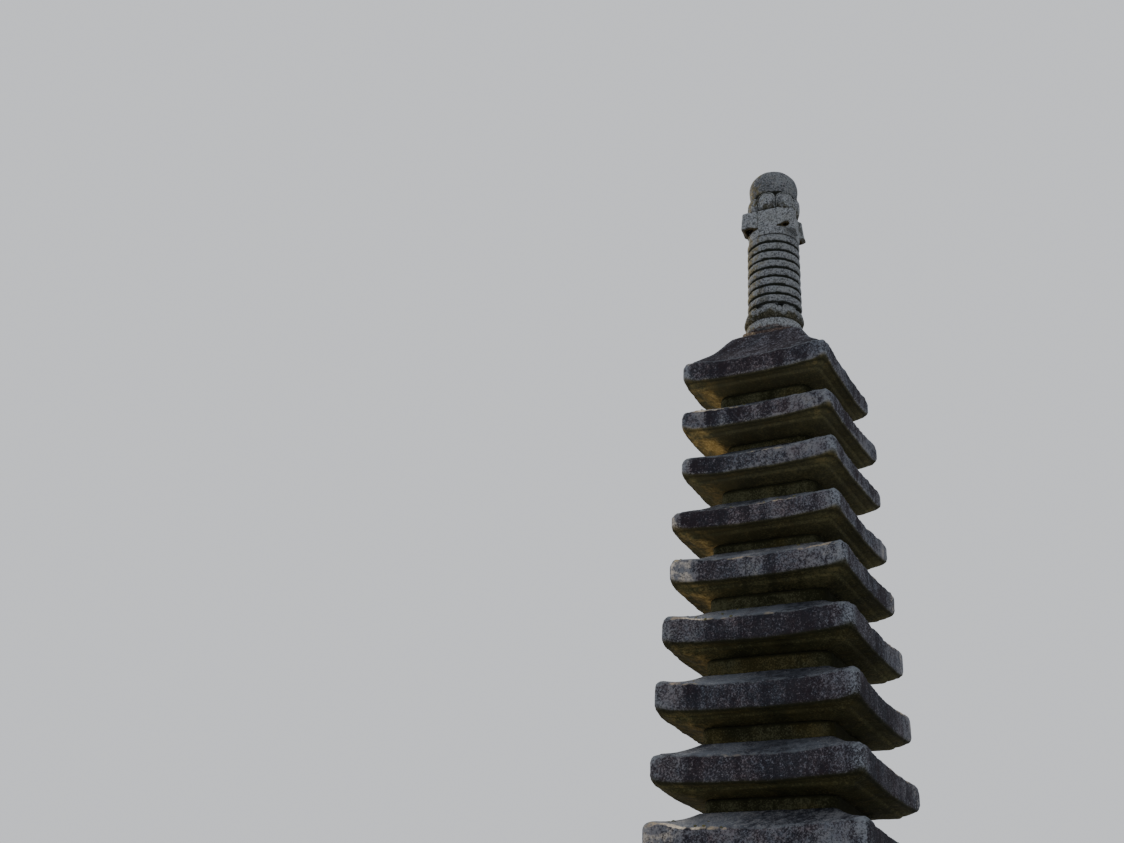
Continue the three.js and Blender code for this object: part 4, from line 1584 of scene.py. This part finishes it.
def body_material():
    """Dark olive-brown stone of the bodies, green and ochre with algae, with painted shade on the
    right side and a painted shadow line along the top.
    """
    material, tree, surface, place = open_material("body_stone")
    lot, corner, rim, shaded = mark_values(tree, "lot", "corner", "rim", "soot")
    lot = product(tree, lot, 20.0)
    mottle = use_group(tree, "mottle", place, lot)["Tone"]
    ochre = use_group(tree, "mottle", place, 5.2,
                      {"Patches per metre": 4.0, "Low": 0.5, "High": 0.66})["Tone"]
    streak = use_group(tree, "streaks", place, lot, {"Streaks per metre": 16.0})["Streak"]
    cover = total(tree, 0.34, product(tree, mottle, 0.2), product(tree, corner, 0.2))
    cover = less(tree, cover, product(tree, streak, 0.12), product(tree, shaded, 0.2))
    grain = use_group(tree, "speckle", place, lot, {"Grains per metre": 150.0, "Cover": cover})
    face = tint(tree, mottle, (0.0185, 0.0190, 0.0095), (0.038, 0.038, 0.019))
    face = wash(tree, face, (0.0130, 0.0135, 0.0060), streak, 0.35)
    face = wash(tree, face, (0.056, 0.044, 0.015), ochre, 0.4)
    pebble = tint(tree, ochre, (0.095, 0.095, 0.055), (0.115, 0.096, 0.042))
    face = wash(tree, face, pebble, grain["Grain"], 0.64)
    face = wash(tree, face, (0.06, 0.06, 0.042), ramp(tree, rim, 0.5, 1.0), 0.25)
    # Painted shade on the right side and painted shadow along the top
    face = wash(tree, face, (0.0090, 0.0095, 0.0042), shaded, 0.75)
    rough = total(tree, product(tree, mottle, 0.08), 0.9)
    shape_surface(tree, surface, face, rough, [
        (mottle, 0.3, 0.004), (grain["Relief"], 0.6, 0.004),
    ])
    return material


def finial_material():
    """Grey-green stone with black pores, grooves darkened black-green by dirt and painted shade, ochre
    lichen, mossy undersides darkened by painted shade, painted shade inside the lugs with a painted
    gold glow on their far walls, and pale rims, painted as highlights on the lugs' upper edges.
    """
    material, tree, surface, place = open_material("finial_stone")
    mottle = use_group(tree, "mottle", place, 1.0, {"Patches per metre": 12.0})["Tone"]
    ragged = use_group(tree, "mottle", place, 6.0,
                       {"Patches per metre": 30.0, "Low": 0.38, "High": 0.6})["Tone"]
    groove, under, rim, light, gold = mark_values(tree, "groove", "under", "rim", "washed", "ochre")
    soot, crust, earth_mark, pale = mark_values(tree, "soot", "crust", "earth", "pale")
    # Moss on the petals' lower parts, with painted shade of their undersides
    moss = ragged_mark(tree, soot, ragged, 0.7, 0.1, 1.0)
    ochre = ragged_mark(tree, crust, ragged, 0.9, 0.45, 1.1)
    earth = ragged_mark(tree, earth_mark, ragged, 0.4, 0.3, 0.8)
    sunlit = ragged_mark(tree, pale, ragged, 0.4, 0.4, 0.8)

    # Pores and worn hollows show a dark ground through the stone's skin
    cover = total(tree, 0.47, product(tree, mottle, 0.16))
    cover = less(tree, cover, product(tree, moss, 0.25), product(tree, earth, 0.15))
    grain = use_group(tree, "speckle", place, 2.0, {"Cover": cover})
    fine = use_group(tree, "speckle", place, 4.0, {"Grains per metre": 230.0, "Cover": 0.5})
    hue = ramp(tree, cloud(tree, place, 14.0, 60.0), 0.35, 0.65)
    ground = tint(tree, ragged, (0.020, 0.022, 0.023), (0.050, 0.054, 0.056))
    ground = wash(tree, ground, (0.014, 0.013, 0.007), moss)
    ground = wash(tree, ground, (0.026, 0.019, 0.018), earth)
    stone = tint(tree, light, (0.160, 0.174, 0.194), (0.290, 0.312, 0.338))
    stone = wash(tree, stone, (0.240, 0.215, 0.222), hue, 0.3)
    stone = wash(tree, stone, (0.205, 0.220, 0.215), mottle, 0.35)
    stone = wash(tree, stone, (0.190, 0.160, 0.080), ochre, 0.85)
    # Pale raised rims of the petals, and a painted highlight on the lugs' upper edges
    stone = wash(tree, stone, (0.30, 0.315, 0.300), rim, 0.5)
    stone = wash(tree, stone, (0.095, 0.086, 0.046), moss, 0.8)
    stone = wash(tree, stone, (0.185, 0.142, 0.128), earth)
    stone = wash(tree, stone, (0.52, 0.40, 0.27), sunlit)
    face = wash(tree, ground, stone, fine["Grain"], 0.45)
    face = wash(tree, face, stone, grain["Grain"], 0.85)
    # Grooves darkened black-green, with dirt and painted shade
    groove_dirt_and_shade = ragged_mark(tree, groove, ragged, 0.45, 0.25, 0.8)
    face = wash(tree, face, (0.012, 0.014, 0.009), groove_dirt_and_shade, 0.93)

    # Inside the lugs: painted shade on the walls, ceiling and underside of each hollow, with a painted gold
    # glow of light on the far wall
    hollow = tint(tree, mottle, (0.013, 0.012, 0.007), (0.030, 0.026, 0.014))
    hollow = wash(tree, hollow, (0.045, 0.035, 0.019), under, grain["Grain"])
    face = wash(tree, face, wash(tree, hollow, (0.150, 0.095, 0.028), gold), under)
    rough = total(tree, product(tree, mottle, 0.08), 0.88)
    shape_surface(tree, surface, face, rough, [
        (mottle, 0.25, 0.003), (grain["Relief"], 0.8, 0.005), (fine["Relief"], 0.3, 0.001),
    ])
    return material


def base_material():
    """Mid grey stone of the base, damp and dark towards the ground, with algae and lichen."""
    material, tree, surface, place = open_material("base_stone")
    lot, rim = mark_values(tree, "lot", "rim")
    lot = product(tree, lot, 20.0)
    mottle = use_group(tree, "mottle", place, lot)["Tone"]
    algae = use_group(tree, "mottle", place, 4.4,
                      {"Patches per metre": 5.0, "Low": 0.48, "High": 0.62})["Tone"]
    streak = use_group(tree, "streaks", place, lot, {"Streaks per metre": 14.0})["Streak"]
    spots = use_group(tree, "lichen", place, lot, {"Spots per metre": 34.0, "Cover": 0.4})["Spot"]
    level = place_node(tree, "ShaderNodeSeparateXYZ", {0: place}).outputs[2]
    damp = ramp(tree, total(tree, level, product(tree, mottle, 0.12)), 0.20, 0.04)
    cover = less(tree, total(tree, 0.38, product(tree, mottle, 0.25)), product(tree, streak, 0.15))
    grain = use_group(tree, "speckle", place, lot, {"Cover": cover})
    face = tint(tree, mottle, (0.045, 0.045, 0.042), (0.085, 0.084, 0.078))
    face = wash(tree, face, (0.048, 0.052, 0.027), algae, 0.5)
    face = wash(tree, face, (0.175, 0.172, 0.16), grain["Grain"], 0.8)
    face = wash(tree, face, (0.25, 0.26, 0.235), spots, 0.55)
    face = wash(tree, face, (0.18, 0.178, 0.165), rim, 0.3)
    face = wash(tree, face, (0.030, 0.032, 0.021), damp, 0.7)
    rough = total(tree, product(tree, mottle, 0.1), 0.86)
    shape_surface(tree, surface, face, rough, [
        (mottle, 0.3, 0.005), (grain["Relief"], 0.7, 0.004),
    ])
    return material


def moss_material():
    """Dry yellow-green moss."""
    material, tree, surface, place = open_material("moss")
    mottle = use_group(tree, "mottle", place, inputs={"Patches per metre": 14.0})["Tone"]
    grain = use_group(tree, "speckle", place, inputs={"Grains per metre": 420.0, "Cover": 0.4})
    face = tint(tree, mottle, (0.050, 0.055, 0.022), (0.15, 0.135, 0.060))
    face = wash(tree, face, (0.22, 0.20, 0.11), grain["Grain"], 0.5)
    rough = total(tree, product(tree, mottle, 0.05), 0.92)
    shape_surface(tree, surface, face, rough, [(grain["Relief"], 0.8, 0.002)])
    return material


# Moss on the upper rims

CUSHION_RADIUS = 0.010


def cushion_mesh():
    """One small lumpy cushion of 80 faces, growing along +Z."""
    edit = bmesh.new()
    bmesh.ops.create_icosphere(edit, subdivisions=2, radius=1.0)
    draw = random.Random(77)
    for vertex in edit.verts:
        vertex.co *= draw.uniform(0.85, 1.15)
        vertex.co.z *= 0.5
        vertex.co *= CUSHION_RADIUS
    mesh = bpy.data.meshes.new("cushion")
    edit.to_mesh(mesh)
    edit.free()
    return mesh


def add_moss():
    """Scatter moss cushions on the roofs' rims and upper slopes, as one piece."""
    tree = tuft_tree()
    pattern = show("cushion", cushion_mesh())
    whole = bmesh.new()
    for index, node in enumerate(ROOFS):
        copy = DRESSED[node].data.copy()
        marks = [read_mark(copy, mark) for mark in ("crust", "rim", "slope", "seat")]
        write_marks(copy, {"moss": [
            max(0.0, crust - 0.35) * (0.5 * rim + 0.25 * slope) * (1 - seat) * (slope > 0.4)
            for crust, rim, slope, seat in zip(*marks)
        ]})
        made = run_tree(copy, tree, {"Cushion": pattern, "Seed": 11 + index, "Finish": FINISHES["moss"]})
        whole.from_mesh(made)
        bpy.data.meshes.remove(made)
    bpy.data.objects.remove(pattern)
    mesh = bpy.data.meshes.new("moss_cushions")
    whole.to_mesh(mesh)
    whole.free()
    mesh.materials.append(FINISHES["moss"])
    moss = show("moss_cushions", mesh)
    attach(moss, "root")


add_camera()
add_sky(colour=(0.82, 0.84, 0.88), strength=0.95)
add_floor(half=14.0, colour=(0.62, 0.61, 0.59))
add_light("sun_side", place=(-7.5, 2.6, 9.5), target=(0, 0, 4.2), size=2.6, power=560,
          colour=(1.0, 0.93, 0.84))
add_light("ground_glow", place=(-6.5, 2.4, 0.7), target=(0, 0, 4.3), size=1.3, power=33,
          colour=(1.0, 0.74, 0.40), spread=90)

GROUPS.update(
    speckle=speckle_group(), mottle=mottle_group(), streaks=streak_group(), lichen=lichen_group(),
    weathering=weathering_tree(),
)
FINISHES.update(
    roof_stone=roof_material(), body_stone=body_material(), finial_stone=finial_material(),
    base_stone=base_material(), moss=moss_material(),
)

add_foot()
add_bodies()
add_roofs()
add_finial()
add_moss()
